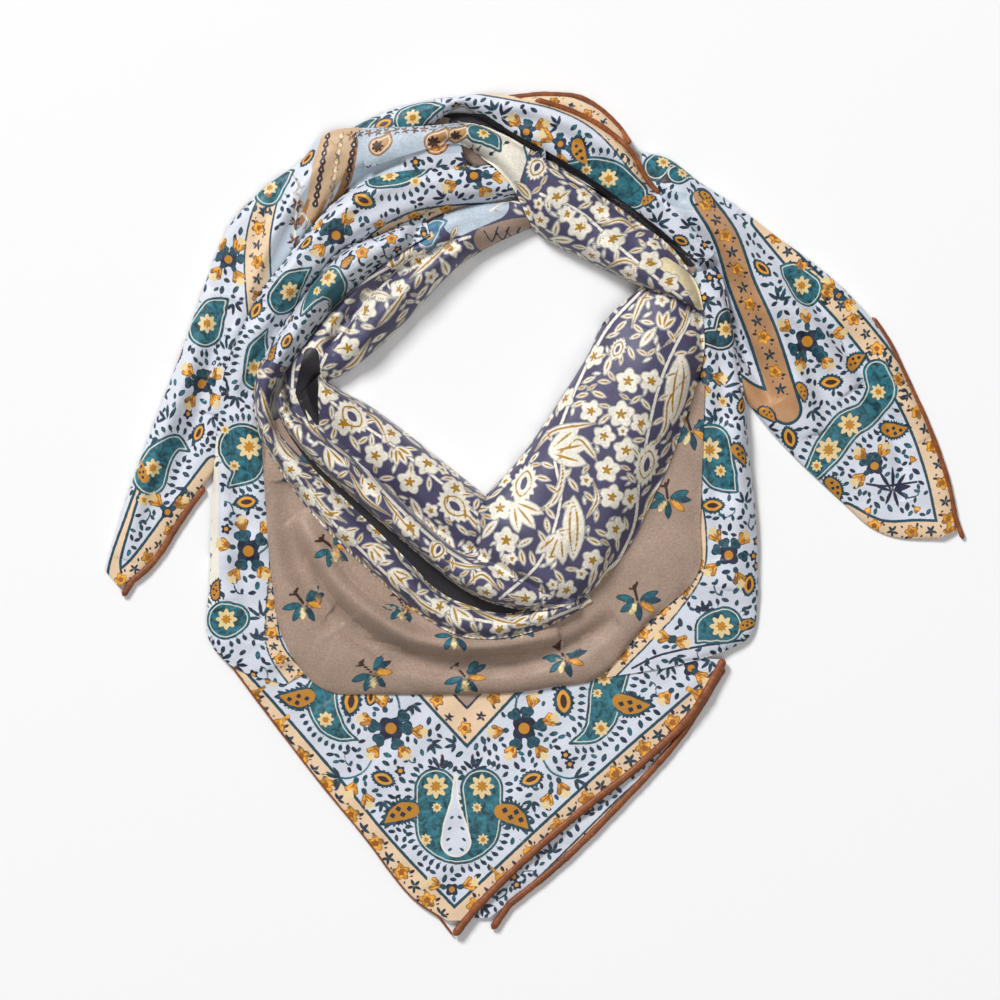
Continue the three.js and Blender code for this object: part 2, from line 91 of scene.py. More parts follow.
# A station across a stretch: outer edge x, y, inner edge x, y, height of its crown.
STATIONS = {
    "under_point": [
        (-157, -68, 93, -76.5, 1.2), (-118, -119, 70.5, -112, 1.2), (-82, -159, 39.5, -146.5, 1.2),
        (-55.5, -184, 10, -175.5, 1.2), (-32, -202, -22.5, -201.5, 1.2),
    ],
    "right_tail": [
        (52.5, 181, 54.5, 154.5, 9), (67, 177, 68, 134.5, 10), (83, 165, 82, 107, 9),
        (101, 153.5, 94.5, 79.5, 8), (120.5, 138.5, 103, 60, 7.5), (140, 124.5, 114.5, 44.5, 7),
        (158.5, 108, 127, 30.5, 6), (174, 89, 140.5, 17.5, 5), (185.5, 66, 154.5, 4.5, 4),
        (197, 40.5, 167, -6.5, 3), (205.5, 15.5, 181, -12, 2.6), (210, -8, 201, -12.5, 2.2),
    ],
    "top_under": [
        (-15, 207, -13, 194.5, 6), (4.5, 208.8, 3, 187, 7.5), (24, 206.5, 18, 181, 7),
        (40, 194, 35, 169, 6), (46.5, 184, 43, 162, 5),
    ],
    "neck_back": [
        (-56, 199, -54, 186, 4), (-32, 200, -38, 178, 5), (-8, 188, -15.5, 162, 5), (28, 164, 19.5, 143, 6),
        (66, 135.5, 64.5, 119.5, 6), (79.5, 124, 77, 111, 5),
    ],
    "top_band": [
        (-105, 186, -99, 178, 5), (-78, 200, -70, 179, 7), (-62, 205, -59, 188, 9),
        (-48, 207.5, -48, 197, 11), (-37, 208.5, -37, 203, 12), (-22, 210, -26, 196.5, 14),
        (-1, 206, -7, 184.5, 16), (18, 200, 8, 174.5, 17), (34, 191.5, 24, 165, 17),
        (47, 180, 42, 154.5, 16), (57, 163.5, 58, 141.5, 15), (71, 150, 72, 130, 13),
        (88.5, 129.5, 85, 126, 9),
    ],
    "left_tail": [
        (-40.5, 193, -33, 169, 10), (-58, 193, -53, 166, 11), (-79, 192.5, -70.5, 159.5, 11),
        (-103, 191, -85.5, 149.5, 10), (-118, 176, -100.5, 132, 9), (-137, 162, -115, 111, 8),
        (-154, 143, -125.5, 89.5, 7), (-166.5, 112, -134, 66, 6.5), (-176, 84.5, -142, 43, 6),
        (-195.5, 33.5, -161.5, 20, 4.5), (-204.5, 8, -176.5, 0, 3.6), (-211, -13, -192, -23.5, 2.8),
        (-215.5, -28, -208, -37, 2.2),
    ],
    "front_point": [
        (-160.5, -64, 93, -72.5, 2.8), (-137.5, -95, 76.5, -100, 2.8), (-110, -131, 50, -126, 2.8),
        (-85.5, -161, 22, -148, 2.8), (-63.5, -189.5, -9, -175, 2.8), (-45, -203, -37, -203, 2.6),
    ],
    "side_right": [
        (90.5, 123, 77, 119.5, 10), (95.5, 107, 80, 101, 11), (104.5, 54.5, 79.5, 54.5, 10),
        (106, 32, 77.5, 32, 9), (109, 7, 76, 7, 8), (110.5, -18, 76, -15.5, 7), (110.5, -42, 64, -38, 6),
        (107, -61, 47, -60.5, 5), (88, -70.5, 39.5, -73, 4.6), (64, -77, 35, -81.5, 4.6),
    ],
    "side_left": [
        (4.5, 182, 6, 162, 8), (-18, 175.5, -12, 158, 11), (-53, 172, -47, 150, 14.5),
        (-68, 170.5, -62, 142, 15), (-84, 166.5, -74, 135.5, 15), (-99, 157, -89, 129.5, 14.5),
        (-113, 142, -102, 119.5, 14), (-125.5, 126, -112, 106, 13.5), (-139, 108, -122, 92, 12.5),
        (-153.5, 77, -137, 62, 10), (-157.5, 56, -136, 42, 9), (-160.5, 27, -133, 19.5, 8),
        (-162, -3, -129.5, -4, 7), (-163, -33, -127, -31.5, 6), (-164, -61, -124.5, -55, 5),
        (-150, -77, -120, -67, 4.6), (-125.5, -85, -113, -78, 4.6),
    ],
    "bib_field": [
        (-137, 42, -110.5, 59.5, 7), (-135, 7, -98, 37, 8), (-132, -30.5, -83, 22, 8),
        (-126, -63, -68, 7, 7.5), (-107, -87, -53, -5.5, 7), (-78, -90, -40.5, -13, 7),
        (-18, -89.5, -15.5, -19, 7.5), (7, -86.5, -3, -17, 7.5), (32, -81, 9.5, -10.5, 7.5),
        (54.5, -55.5, 22, -0.5, 8), (80, -30.5, 34.5, 14.5, 8), (82, -0.5, 44.5, 32, 8),
        (84, 64.5, 59.5, 72, 8),
    ],
    "neck_left_inner": [
        (8, 163, 12, 145, 7), (-10.5, 157, -3, 142.5, 9), (-45, 150, -37, 125, 12),
        (-78.5, 126, -66.5, 95, 13), (-95, 109.5, -82, 80.5, 13), (-110, 93, -95.5, 70, 12),
        (-122, 77, -104, 66, 11), (-126, 61, -109, 56, 8), (-118, 42, -105, 45, 5),
    ],
    "cowl_outer": [
        (-55.5, 149.5, -53, 139, 15), (-79, 139, -73, 127, 16.5), (-95.5, 132.5, -86.5, 116, 17),
        (-107, 121, -98.5, 106.5, 17), (-118, 106, -109, 93, 17), (-136, 78, -125, 71, 17),
        (-140.5, 63, -130.5, 60.5, 17), (-139.5, 47, -131, 48, 17), (-134.5, 32.5, -125, 36.5, 17),
        (-110, -2, -98, 10, 17), (-73.5, -37, -66, -21, 17), (-55, -52, -50, -37.5, 17),
        (-36.5, -61, -33.5, -45.5, 17), (-15.5, -61.5, -14.5, -49.5, 16), (7, -55.5, 7, -44, 15),
        (28, -44, 25, -37, 14),
    ],
    "cowl_inner": [
        (-117, 61, -107, 70, 14), (-115, 52, -103, 65, 15), (-110, 39, -93, 59.5, 15),
        (-99.5, 28, -81.5, 53, 15), (-72, 6, -55, 33, 15), (-43.5, -17, -30, 13, 15),
        (-28, -22, -19.5, 4, 14), (-15.5, -27, -8, -5.5, 13),
    ],
    "cowl_front": [
        (79, 114.5, 56, 116.5, 10), (83.5, 93, 34, 96, 17), (82, 72, 24.5, 77, 22),
        (68, 29.5, -1.5, 37, 22), (58.5, 8.5, -14, 21, 22), (49, -11.5, -24, 10.5, 22),
        (37.5, -28, -29, -1, 22), (22, -42, -30, -12, 22.5), (3, -48, -33, -19, 23),
        (-16.5, -46, -39, -18, 23), (-34, -39, -48, -11, 23), (-50.5, -27, -59, -1, 23),
        (-67, -13, -73, 12, 22.5), (-101, 16.5, -104, 39, 21), (-116, 31.5, -117.5, 48.5, 20),
        (-126, 45, -124.5, 57, 18), (-129.5, 54.5, -125.5, 64, 16),
    ],
    "neck_cross": [
        (84, 98, 71, 107, 19), (80, 114.5, 53, 113, 21), (68, 132, 38, 120, 21), (52, 144.5, 24.5, 127, 19),
        (34.5, 157, 11, 133.5, 18), (17, 169, -1, 142, 19), (-0.5, 180, -11.5, 162, 19),
        (-17, 189.5, -24, 175.5, 18), (-33, 195, -38, 184, 16), (-53, 193.5, -53, 182, 14.5),
        (-90, 191, -85, 172, 11.4),
    ],
}

# ---------------------------------------------------------------- the shape of the cloth


def run_of(points):
    """How far along a line of points in plan each of them is."""
    return np.concatenate([[0], np.cumsum(np.hypot(*np.diff(points, axis=0).T))])


def along(points, t):
    """A smooth curve through points, uniform Catmull-Rom, at t from 0 to 1."""
    points = np.asarray(points, float)
    padded = np.vstack([2 * points[0] - points[1], points, 2 * points[-1] - points[-2]])
    place = np.clip(t, 0, 1) * (len(points) - 1)
    first = np.minimum(place.astype(int), len(points) - 2)
    u = (place - first)[:, None]
    p0, p1, p2, p3 = (padded[first + k] for k in range(4))
    return 0.5 * (2 * p1 + (p2 - p0) * u + (2 * p0 - 5 * p1 + 4 * p2 - p3) * u**2
                  + (3 * p1 - p0 - 3 * p2 + p3) * u**3)


def to_line(x, y, points):
    """Distance in plan from x, y to a smooth curve through points, and how far along it the foot is."""
    curve = along(points, np.linspace(0, 1, 12 * len(points)))
    best = np.full(x.shape, np.inf)
    foot = np.zeros(x.shape)
    steps = len(curve) - 1
    for k in range(steps):
        start, leg = curve[k], curve[k + 1] - curve[k]
        share = np.clip(((x - start[0]) * leg[0] + (y - start[1]) * leg[1]) / max(leg @ leg, TINY), 0, 1)
        gap = np.hypot(x - start[0] - share * leg[0], y - start[1] - share * leg[1])
        foot = np.where(gap < best, (k + share) / steps, foot)
        best = np.minimum(best, gap)
    return best, foot


def blur(height, cells):
    """Gaussian blur of the height map, one axis at a time."""
    reach = int(2.5 * cells)
    weights = np.exp(-0.5 * (np.arange(-reach, reach + 1) / cells) ** 2)
    weights /= weights.sum()
    for axis in (0, 1):
        height = sum(w * np.roll(height, k - reach, axis) for k, w in enumerate(weights))
    return height


def widen(height, cells):
    """Each cell takes the highest of the cells around it."""
    for axis in (0, 1):
        for _ in range(cells):
            height = np.maximum(height, np.maximum(np.roll(height, 1, axis), np.roll(height, -1, axis)))
    return height


class HeightMap:
    """The highest cloth so far over each cell of the table."""

    def __init__(self):
        side = int(2 * MAP_HALF / MAP_CELL)
        self.high = np.zeros((side, side))

    def cells(self, x, y):
        """Row and column of the cell that each place is in."""
        column = ((x + MAP_HALF) / MAP_CELL).astype(int)
        row = ((y + MAP_HALF) / MAP_CELL).astype(int)
        return row, column

    def support(self, x, y, bridging):
        """What a sheet at x, y rests on. A sheet with bridging spans the steps beneath it softly."""
        held = widen(self.high, 1)
        if bridging:
            held = np.maximum(held, blur(widen(self.high, 4), 4))
        return held[self.cells(x, y)]

    def record(self, x, y, z):
        """Raises the cells under a sheet, and the empty ones beside them, to its height."""
        np.maximum.at(self.high, self.cells(x, y), z)
        near = widen(self.high, 1)
        self.high = np.where(self.high == 0, near, self.high)

    def record_tube(self, path, radius):
        """A cord along a path in plan and height, as high as its top over a radius to each side."""
        fine = np.linspace(0, len(path) - 1, 8 * len(path))
        spine = np.stack([np.interp(fine, np.arange(len(path)), path[:, k]) for k in range(3)], axis=1)
        for shift in np.linspace(-0.8 * radius, 0.8 * radius, 5):
            self.record(spine[:, 0] + shift, spine[:, 1], spine[:, 2] + 0.8 * radius)
            self.record(spine[:, 0], spine[:, 1] + shift, spine[:, 2] + 0.8 * radius)


table = HeightMap()


def crown(across, peak, roundness):
    """1 at the peak and 0 at both edges: a superellipse of the share of the way from peak to edge."""
    from_peak = np.where(across < peak, (peak - across) / peak, (across - peak) / (1 - peak))
    return np.clip(1 - np.abs(from_peak) ** roundness, 0, 1) ** (1 / roundness)


def ease(distance, reach):
    """From 0 to 1 over a length, smoothly."""
    share = np.clip(distance / max(reach, 1e-6), 0, 1)
    return share**2 * (3 - 2 * share) if reach else np.ones_like(distance)


def even_steps(width, height, peak, roundness, count):
    """Shares across a stretch that are evenly spaced along its section, down its sides too."""
    dense = 0.5 - 0.5 * np.cos(np.linspace(0, np.pi, 1500))
    length = np.hypot(np.diff(dense) * width, np.diff(crown(dense, peak, roundness)) * height)
    run = np.concatenate([[0], np.cumsum(length)])
    return np.interp(np.linspace(0, run[-1], count), run, dense)


def lay_stretch(name, peak, roundness, folds, ends):
    """One stretch of cloth: outer and inner edge curves joined across, raised by crown height times
    the superellipse, plus soft folds, each a bell of its height and half-width about a line. The higher
    of that and what lies beneath, blended smoothly, is its top. ends are the lengths over which it
    thins to nothing at its start and end."""
    stations = np.array(STATIONS[name], float)
    outer, inner, height = stations[:, 0:2], stations[:, 2:4], stations[:, 4:5]
    t = np.linspace(0, 1, 200)
    middle = (along(outer, t) + along(inner, t)) / 2
    length, *edge_lengths = (np.hypot(*np.diff(line, axis=0).T).sum()
                             for line in (middle, along(outer, t), along(inner, t)))
    width = np.hypot(*(along(outer, t) - along(inner, t)).T).mean()
    pitch = PLAIN_PITCH if name in PLAIN else PITCH
    rows = UNDER_STEP * max(3, round((length + max(edge_lengths)) / 2 / pitch / UNDER_STEP)) + 1
    section = width + 0.9 * height.mean() * (roundness < 4)
    columns = UNDER_STEP * max(3, round(section / pitch / UNDER_STEP)) + 1
    across = even_steps(width, height.mean(), peak, roundness, columns)
    # rows evenly spaced along the middle line
    run = run_of(middle)
    t = np.interp(np.linspace(0, run[-1], rows), run, t)
    start, end, top = along(outer, t), along(inner, t), along(height, t)
    xy = start[:, None] * (1 - across[:, None]) + end[:, None] * across[:, None]
    x, y = xy[..., 0], xy[..., 1]
    own = np.repeat(top, columns, axis=1)
    for rise, half_width, line in folds:
        near, foot = to_line(x, y, line)
        fade = np.sin(np.pi * np.clip(foot, 0, 1)) ** 0.35
        own = own + rise * np.exp(-((near / half_width) ** 2)) * fade
    phases = rng.uniform(0, 2 * np.pi, 6)
    for wave, turn, phase in zip(SWAY_WAVES, phases[:3], phases[3:]):
        own = own + SWAY * np.sin((x * np.cos(turn) + y * np.sin(turn)) * 2 * np.pi / wave + phase)
    distance = np.linspace(0, length, rows)
    thinning = ease(distance, ends[0]) * ease(length - distance, ends[1])
    own = own * crown(across, peak, roundness)[None, :] * thinning[:, None]
    support = table.support(x, y, name not in ROLLS) + REST_GAP
    held_up = support > REST_GAP + 0.1
    z = 0.5 * (own + support + np.sqrt((own - support) ** 2 + BLEND**2 * held_up))
    z = np.maximum(z, support) + CLOTH
    table.record(x, y, z)
    cloth = make_cloth(name, x, y, z)
    cloth["pitch"] = pitch
    side = np.linalg.norm(np.diff(cloth["points"].reshape(rows, columns, 3), axis=1), axis=2).mean(axis=0)
    ribs = np.concatenate([[0], np.cumsum(side)])
    cloth["threads"] = np.column_stack([np.repeat(distance, columns), np.tile(ribs, rows), np.zeros(x.size)])
    return cloth


def make_cloth(name, x, y, z):
    """The grid's points, its unit normals, and empty layers for its print."""
    points = np.stack([x, y, z], axis=-1)
    by_row, by_column = np.gradient(points, axis=0), np.gradient(points, axis=1)
    normal = np.cross(by_row, by_column)
    normal *= np.sign(normal[..., 2:].mean())
    normal /= np.maximum(np.linalg.norm(normal, axis=-1, keepdims=True), TINY)
    flat = points.reshape(-1, 3)
    return {
        "name": name,
        "shape": x.shape,
        "points": flat,
        "normals": normal.reshape(-1, 3),
        "distance": {layer: np.full(len(flat), FAR) for layer in LAYERS},
        "colour": {layer: np.tile([0.5, 0.5, 0.5, 0.0], (len(flat), 1)) for layer in LAYERS},
    }


# ---------------------------------------------------------------- the print

# From the cloth up: printed areas, fine strokes, motifs, what is on a motif, its centre, what is on that.
# The last layer also holds the painted shade of deep folds, grooves and holes, over every motif.
LAYERS = ("area", "stroke", "motif", "detail", "dot", "seed")


def put(cloth, layer, near, distance, colour, lined=0.0):
    """Adds a shape to a layer: where its distance is the smaller it takes the point, colour and all."""
    held = cloth["distance"][layer]
    closer = distance < held[near]
    taken = near[closer]
    held[taken] = distance[closer]
    cloth["colour"][layer][taken] = (*linear(colour), lined)


def around(cloth, x, y, turn, reach):
    """The points within reach of x, y and their places a, b on the cloth, from the tangent plane there,
    stretched to their true distance, so that a motif bends with the cloth. turn is in degrees. None
    where the cloth has hardly a point near."""
    points = cloth["points"]
    box = np.flatnonzero((np.abs(points[:, 0] - x) < reach) & (np.abs(points[:, 1] - y) < reach))
    if len(box) < 4:
        return None
    centre = box[np.argmin(np.hypot(points[box, 0] - x, points[box, 1] - y))]
    normal = cloth["normals"][centre]
    first = np.array([*away((0, 0), turn, 1), 0.0])
    first -= normal * (first @ normal)
    first /= np.linalg.norm(first)
    second = np.cross(normal, first)
    from_centre = points[box] - np.array([x, y, points[centre, 2]])
    true = np.linalg.norm(from_centre, axis=1)
    near = box[true < reach]
    from_centre, true = from_centre[true < reach], true[true < reach]
    a, b = from_centre @ first, from_centre @ second
    stretch = np.minimum(true / np.maximum(np.hypot(a, b), 0.05), 3)
    return near, a * stretch, b * stretch


def swept(a, b, path, radii):
    """A disc carried along a smooth path while its radius changes: the signed distance to what it covers."""
    path, radii = np.asarray(path, float), np.asarray(radii, float)
    if len(path) > 2:
        t = np.linspace(0, 1, 5 * len(path))
        radii = np.interp(t, np.linspace(0, 1, len(path)), radii)
        path = along(path, t)
    best = np.full(a.shape, FAR)
    for (x0, y0), (x1, y1), r0, r1 in zip(path[:-1], path[1:], radii[:-1], radii[1:]):
        leg = (x1 - x0) ** 2 + (y1 - y0) ** 2
        share = np.clip(((a - x0) * (x1 - x0) + (b - y0) * (y1 - y0)) / max(leg, TINY), 0, 1)
        gap = np.hypot(a - x0 - share * (x1 - x0), b - y0 - share * (y1 - y0))
        best = np.minimum(best, gap - r0 - share * (r1 - r0))
    return best


def leaf(a, b, length, width):
    """A pointed leaf centred on 0, 0: where two circles overlap."""
    radius = (length**2 + width**2) / (4 * width)
    return np.hypot(a, np.abs(b) + radius - width / 2) - radius


def teeth(a, b, count, flat=1.0):
    """A wave from 0 to 1 that rises count times on the way round, evenly on a shape that is as flat."""
    return 0.5 + 0.5 * np.cos(count * np.arctan2(b / flat, a))


def petals(a, b, radius, count, depth=0.35):
    """A round flower whose radius rises and falls count times on the way round."""
    return np.hypot(a, b) - radius * (1 - depth + depth * teeth(a, b, count) ** 0.7)


def stamp(cloth, layer, x, y, turn, reach, shape, colour, hand=1, lined=0.0):
    """Puts one shape on the cloth at x, y. hand is -1 for its mirror image."""
    found = around(cloth, x, y, turn, reach)
    if found:
        near, a, b = found
        put(cloth, layer, near, shape(a, hand * b), colour, lined)


def each(cloth, motif, *rows):
    """Puts a motif on the cloth once for each row of its values."""
    for row in rows:
        motif(cloth, *row)


def at_each(cloth, motif, *rows):
    """Puts a motif at the x, y that starts each row, with the rest of the row as its values."""
    each(cloth, motif, *((row[:2], *row[2:]) for row in rows))


def each_way(cloth, motif, *rows):
    """Puts a motif that points from x, y to x, y, the first four numbers of each row."""
    each(cloth, motif, *((row[:2], row[2:4], *row[4:]) for row in rows))


def away(at, turn, length):
    """The place that is a length away from at, in a direction in degrees."""
    return np.asarray(at) + length * np.array([np.cos(np.radians(turn)), np.sin(np.radians(turn))])


def from_to(start, end):
    """Middle, direction in degrees, and length of the way from start to end."""
    start, end = np.asarray(start, float), np.asarray(end, float)
    way = end - start
    return (start + end) / 2, np.degrees(np.arctan2(way[1], way[0])), np.hypot(*way)


def near_box(cloth, points, margin):
    """The points of the cloth in the box round some places, with a margin."""
    x, y = cloth["points"][:, 0], cloth["points"][:, 1]
    (left, low), (right, high) = points.min(axis=0) - margin, points.max(axis=0) + margin
    return np.flatnonzero((x > left) & (x < right) & (y > low) & (y < high))


def ribbon(cloth, near, points, width):
    """Signed distance to a ribbon along a smooth curve. width may change along it."""
    distance, foot = to_line(*cloth["points"][near, :2].T, points)
    widths = np.atleast_1d(np.asarray(width, float))
    return distance - np.interp(foot, np.linspace(0, 1, len(widths)), widths) / 2


def stroke(cloth, points, width=0.9, colour=TEAL, layer="stroke"):
    """A stem, curl or drawn line along a smooth curve. width may change along it."""
    near = near_box(cloth, np.asarray(points, float), 4 + np.max(width))
    if len(near):
        put(cloth, layer, near, ribbon(cloth, near, points, width), colour)


def band(cloth, points, width, colour=PEACH, line=1.0, leg=None, leg_width=None):
    """A coloured band along a smooth curve with a teal line along each side. width may change. leg is a
    second curve that the band goes on along past a corner."""
    near = near_box(cloth, np.vstack([points, leg or points]), 20)
    if len(near) == 0:
        return
    distance = ribbon(cloth, near, points, width)
    if leg:
        distance = np.minimum(distance, ribbon(cloth, near, leg, leg_width))
    put(cloth, "area", near, distance, colour)
    put(cloth, "stroke", near, np.abs(distance) - line / 2, DEEP_TEAL)


def blossom(cloth, at, radius):
    """A flower printed on a motif: eight pale petals and an ochre star."""
    stamp(cloth, "detail", *at, 0, 1.6 * radius, lambda a, b: petals(a, b, radius, 8, 0.4), BUTTER)
    stamp(cloth, "dot", *at, 0, radius, lambda a, b: petals(a, b, 0.5 * radius, 8, 0.5), OCHRE)


def sprout(cloth, at, turn, length, width, colour=DEEP_TEAL, layer="motif"):
    """A small printed leaf."""
    stamp(cloth, layer, *at, turn, length + 1.5, lambda a, b: leaf(a, b, length, width), colour)


def paisley(cloth, path, radii, flowers=(), fringe=True, colour=TEAL):
    """A drop whose body is a disc that shrinks along a hooked path, with a cream line inside its
    outline, flowers on it (x, y, radius), and a fringe of small leaves that stand off its edge."""
    path = np.asarray(path, float)
    middle = path.mean(axis=0)
    reach = np.hypot(*(path - middle).T).max() + max(radii) + 3
    stamp(cloth, "motif", *middle, 0, reach, lambda a, b: swept(a, b, path - middle, radii), colour,
          lined=1.0)
    at_each(cloth, blossom, *flowers)
    if not fringe:
        return
    t = np.linspace(0.0, 1.0, 300)
    spine = along(path, t)
    heading = np.gradient(spine, axis=0)
    heading /= np.linalg.norm(heading, axis=1, keepdims=True)
    normal = np.stack([-heading[:, 1], heading[:, 0]], axis=1)
    radius = np.interp(t, np.linspace(0, 1, len(radii)), radii)
    stand_off = (radius + FRINGE_GAP)[:, None]
    back = np.degrees(np.arctan2(*-heading[0, ::-1]))
    cap = np.array([away((0, 0), back + turn, 1) for turn in np.linspace(60, -60, 12)])
    outline = ((spine - normal * stand_off, -normal), (spine + normal * stand_off, normal),
               (spine[0] + cap * stand_off[0], cap))
    for ring, facing in outline:
        run = run_of(ring)
        for place in np.arange(1.2, run[-1], FRINGE_PITCH):
            k = np.searchsorted(run, place)
            if (np.hypot(*(spine - ring[k]).T) - radius).min() > 2.3:
                turn = np.degrees(np.arctan2(facing[k, 1], facing[k, 0]))
                sprout(cloth, ring[k], turn + 14, 3.8, 2.1)
                stroke(cloth, [ring[k] - 2.3 * facing[k], ring[k]], 0.7, DEEP_TEAL)


def bean(cloth, blunt, tip, hand=1):
    """A small ochre paisley with a blue spiked edge and dark dots."""
    middle, turn, length = from_to(blunt, tip)
    size = length / 1.75
    path = np.array([(-0.5, 0), (-0.1, 0.04), (0.3, -0.04), (0.85, -0.3)]) * size
    radii = np.array([0.34, 0.42, 0.32, 0.03]) * size
    stamp(cloth, "motif", *middle, turn, 1.5 * size,
          lambda a, b: swept(a, b, path, radii + 0.1 * size) - 0.16 * size * teeth(a, b, 22),
          DEEP_TEAL, hand)
    stamp(cloth, "detail", *middle, turn, 1.5 * size, lambda a, b: swept(a, b, path, radii), OCHRE, hand)
    for place in ((-0.4, 0.1), (-0.05, -0.1), (0.1, 0.2), (0.42, -0.05)):
        stamp(cloth, "dot", *middle, turn, size,
              lambda a, b: petals(a - place[0] * size, b - place[1] * size, 0.14 * size, 4, 0.3), NAVY, hand)


def eye(cloth, start, end):
    """A fringed almond: teal spikes, an ochre body and a dark heart."""
    middle, turn, length = from_to(start, end)
    wide = 0.62 * length
    stamp(cloth, "motif", *middle, turn, 0.8 * length,
          lambda a, b: leaf(a, b, length, wide) - 0.07 * length * teeth(a, b, 18, 0.62), DEEP_TEAL)
    for layer, long, across, colour in (("detail", 0.8, 0.72, AMBER), ("dot", 0.55, 0.36, SEPIA)):
        stamp(cloth, layer, *middle, turn, length,
              lambda a, b: leaf(a, b, long * length, across * wide), colour)


def fan(cloth, centre, toward, size=5.4):
    """A flower head seen from the side: a wedge that opens away from centre, with a toothed rim, dark
    lines along it and a blue cup at its foot."""
    turn, reach = from_to(centre, toward)[1], 1.9 * size

    def wedge(a, b):
        """A sector whose far side is toothed."""
        angle = np.arctan2(b, a + 0.8 * size)
        out = np.hypot(a + 0.8 * size, b)
        return np.maximum(out - size * (1.4 + 0.07 * np.cos(17 * angle)), (np.abs(angle) - 0.58) * out)

    stamp(cloth, "motif", *toward, turn, reach, wedge, AMBER)
    if size > 4:
        stamp(cloth, "detail", *toward, turn, reach, lambda a, b: wedge(a - 0.55 * size, b) + 0.9, BUTTER)
        for slant in (-0.34, 0, 0.34):
            line = ((-0.5 * size, -0.3 * slant * size), (0.35 * size, slant * 1.1 * size))
            stamp(cloth, "dot", *toward, turn, reach, lambda a, b: swept(a, b, line, (0.3, 0.3)), "#9a5a1a")
    stamp(cloth, "seed", *toward, turn, reach,
          lambda a, b: np.hypot((a + 0.72 * size) * 0.8, b) - 0.26 * size, DEEP_TEAL)


def bouquet(cloth, centre, heads, size=6.8, knuckles=True):
    """A dark four-lobed flower with an ochre heart and ochre heads round it on blue knuckles."""
    stamp(cloth, "motif", *centre, 45, 2 * size, lambda a, b: petals(a, b, size, 4, 0.3), NAVY)
    stamp(cloth, "detail", *centre, 0, size, lambda a, b: np.hypot(a, b) - 0.42 * size, OCHRE)
    for k, head in enumerate(heads):
        fan(cloth, centre, head)
        if knuckles:
            _, turn, length = from_to(centre, head)
            knee = away(centre, turn + (62 if k % 2 else -62), 0.62 * length)
            stamp(cloth, "motif", *knee, turn, 3 * size,
                  lambda a, b: petals(a, b, 0.56 * size, 3, 0.3), DEEP_TEAL)
            stamp(cloth, "detail", *knee, turn, size,
                  lambda a, b: np.abs(np.hypot(a, b) - 0.3 * size) - 0.3, TEAL)


def sprig(cloth, foot, toward, spread=(-62, -22, 22, 62), colour=DEEP_TEAL):
    """Narrow leaves spread from one point, the middle ones reaching toward."""
    _, turn, length = from_to(foot, toward)
    for angle in spread:
        reach = length * (1 - 0.2 * abs(angle) / 60)
        at = away(foot, turn + angle, 0.52 * reach)
        sprout(cloth, at, turn + angle, 0.95 * reach, min(0.3 * reach, 1.9), colour)


def clump(cloth, at, turn=0, size=3.2, colour=DEEP_TEAL):
    """Five dark leaves in a bunch."""
    for angle in (20, 92, 163, 245, 312):
        sprout(cloth, away(at, turn + angle, 0.5 * size), turn + angle, size, 0.4 * size, colour)


def band_flower(cloth, at, turn=0, size=4.6):
    """An ochre flower of a band, with two brown leaves."""
    stamp(cloth, "motif", *at, turn, 2 * size, lambda a, b: petals(a, b, size, 5, 0.35), AMBER)
    stamp(cloth, "detail", *at, turn, size, lambda a, b: petals(a, b, 0.42 * size, 5), "#a35f1c")
    for side in (-1, 1):
        sprout(cloth, away(at, turn + 50, side * 1.15 * size), turn + 80, 0.75 * size, 0.36 * size, SEPIA)


def band_row(cloth, points, first=4.0, pitch=9.6, size=4.6):
    """Ochre flowers and dark clumps by turns along a band."""
    curve = along(points, np.linspace(0, 1, 400))
    run = run_of(curve)
    for k, place in enumerate(np.arange(first, run[-1], pitch)):
        step = min(np.searchsorted(run, place), 398)
        turn = from_to(curve[step], curve[step + 1])[1]
        if k % 2:
            clump(cloth, curve[step], turn, 0.85 * size)
        else:
            band_flower(cloth, curve[step], turn, size)
        beside = curve[min(np.searchsorted(run, place + pitch / 2), 399)]
        for side in (-1, 1):
            sprout(cloth, away(beside, turn + 90, side * 2.4), turn + 60 * side, 1.9, 1.0, NAVY)


def open_places(cloth, spacing, clear, keep):
    """Places on a jittered lattice of the grid that are clear of every motif, stroke and area, with how
    clear each is and two random numbers, an angle and a share."""
    rows, columns = cloth["shape"]
    step = max(2, round(spacing / cloth["pitch"]))
    for row in range(step // 2, rows - 2, step):
        for column in range(step // 2 + (row // step % 2) * step // 2, columns - 1, step):
            shift = rng.integers(-step // 4, step // 4 + 1, 2)
            turn, pick = rng.uniform(0, 360), rng.uniform()
            r, c = np.clip(row + shift[0], 1, rows - 2), np.clip(column + shift[1], 1, columns - 2)
            k = r * columns + c
            free = min(cloth["distance"][layer][k] for layer in ("area", "stroke", "motif"))
            at = cloth["points"][k, :2]
            if free >= clear and (keep is None or keep(*at)):
                yield at, free, turn, pick


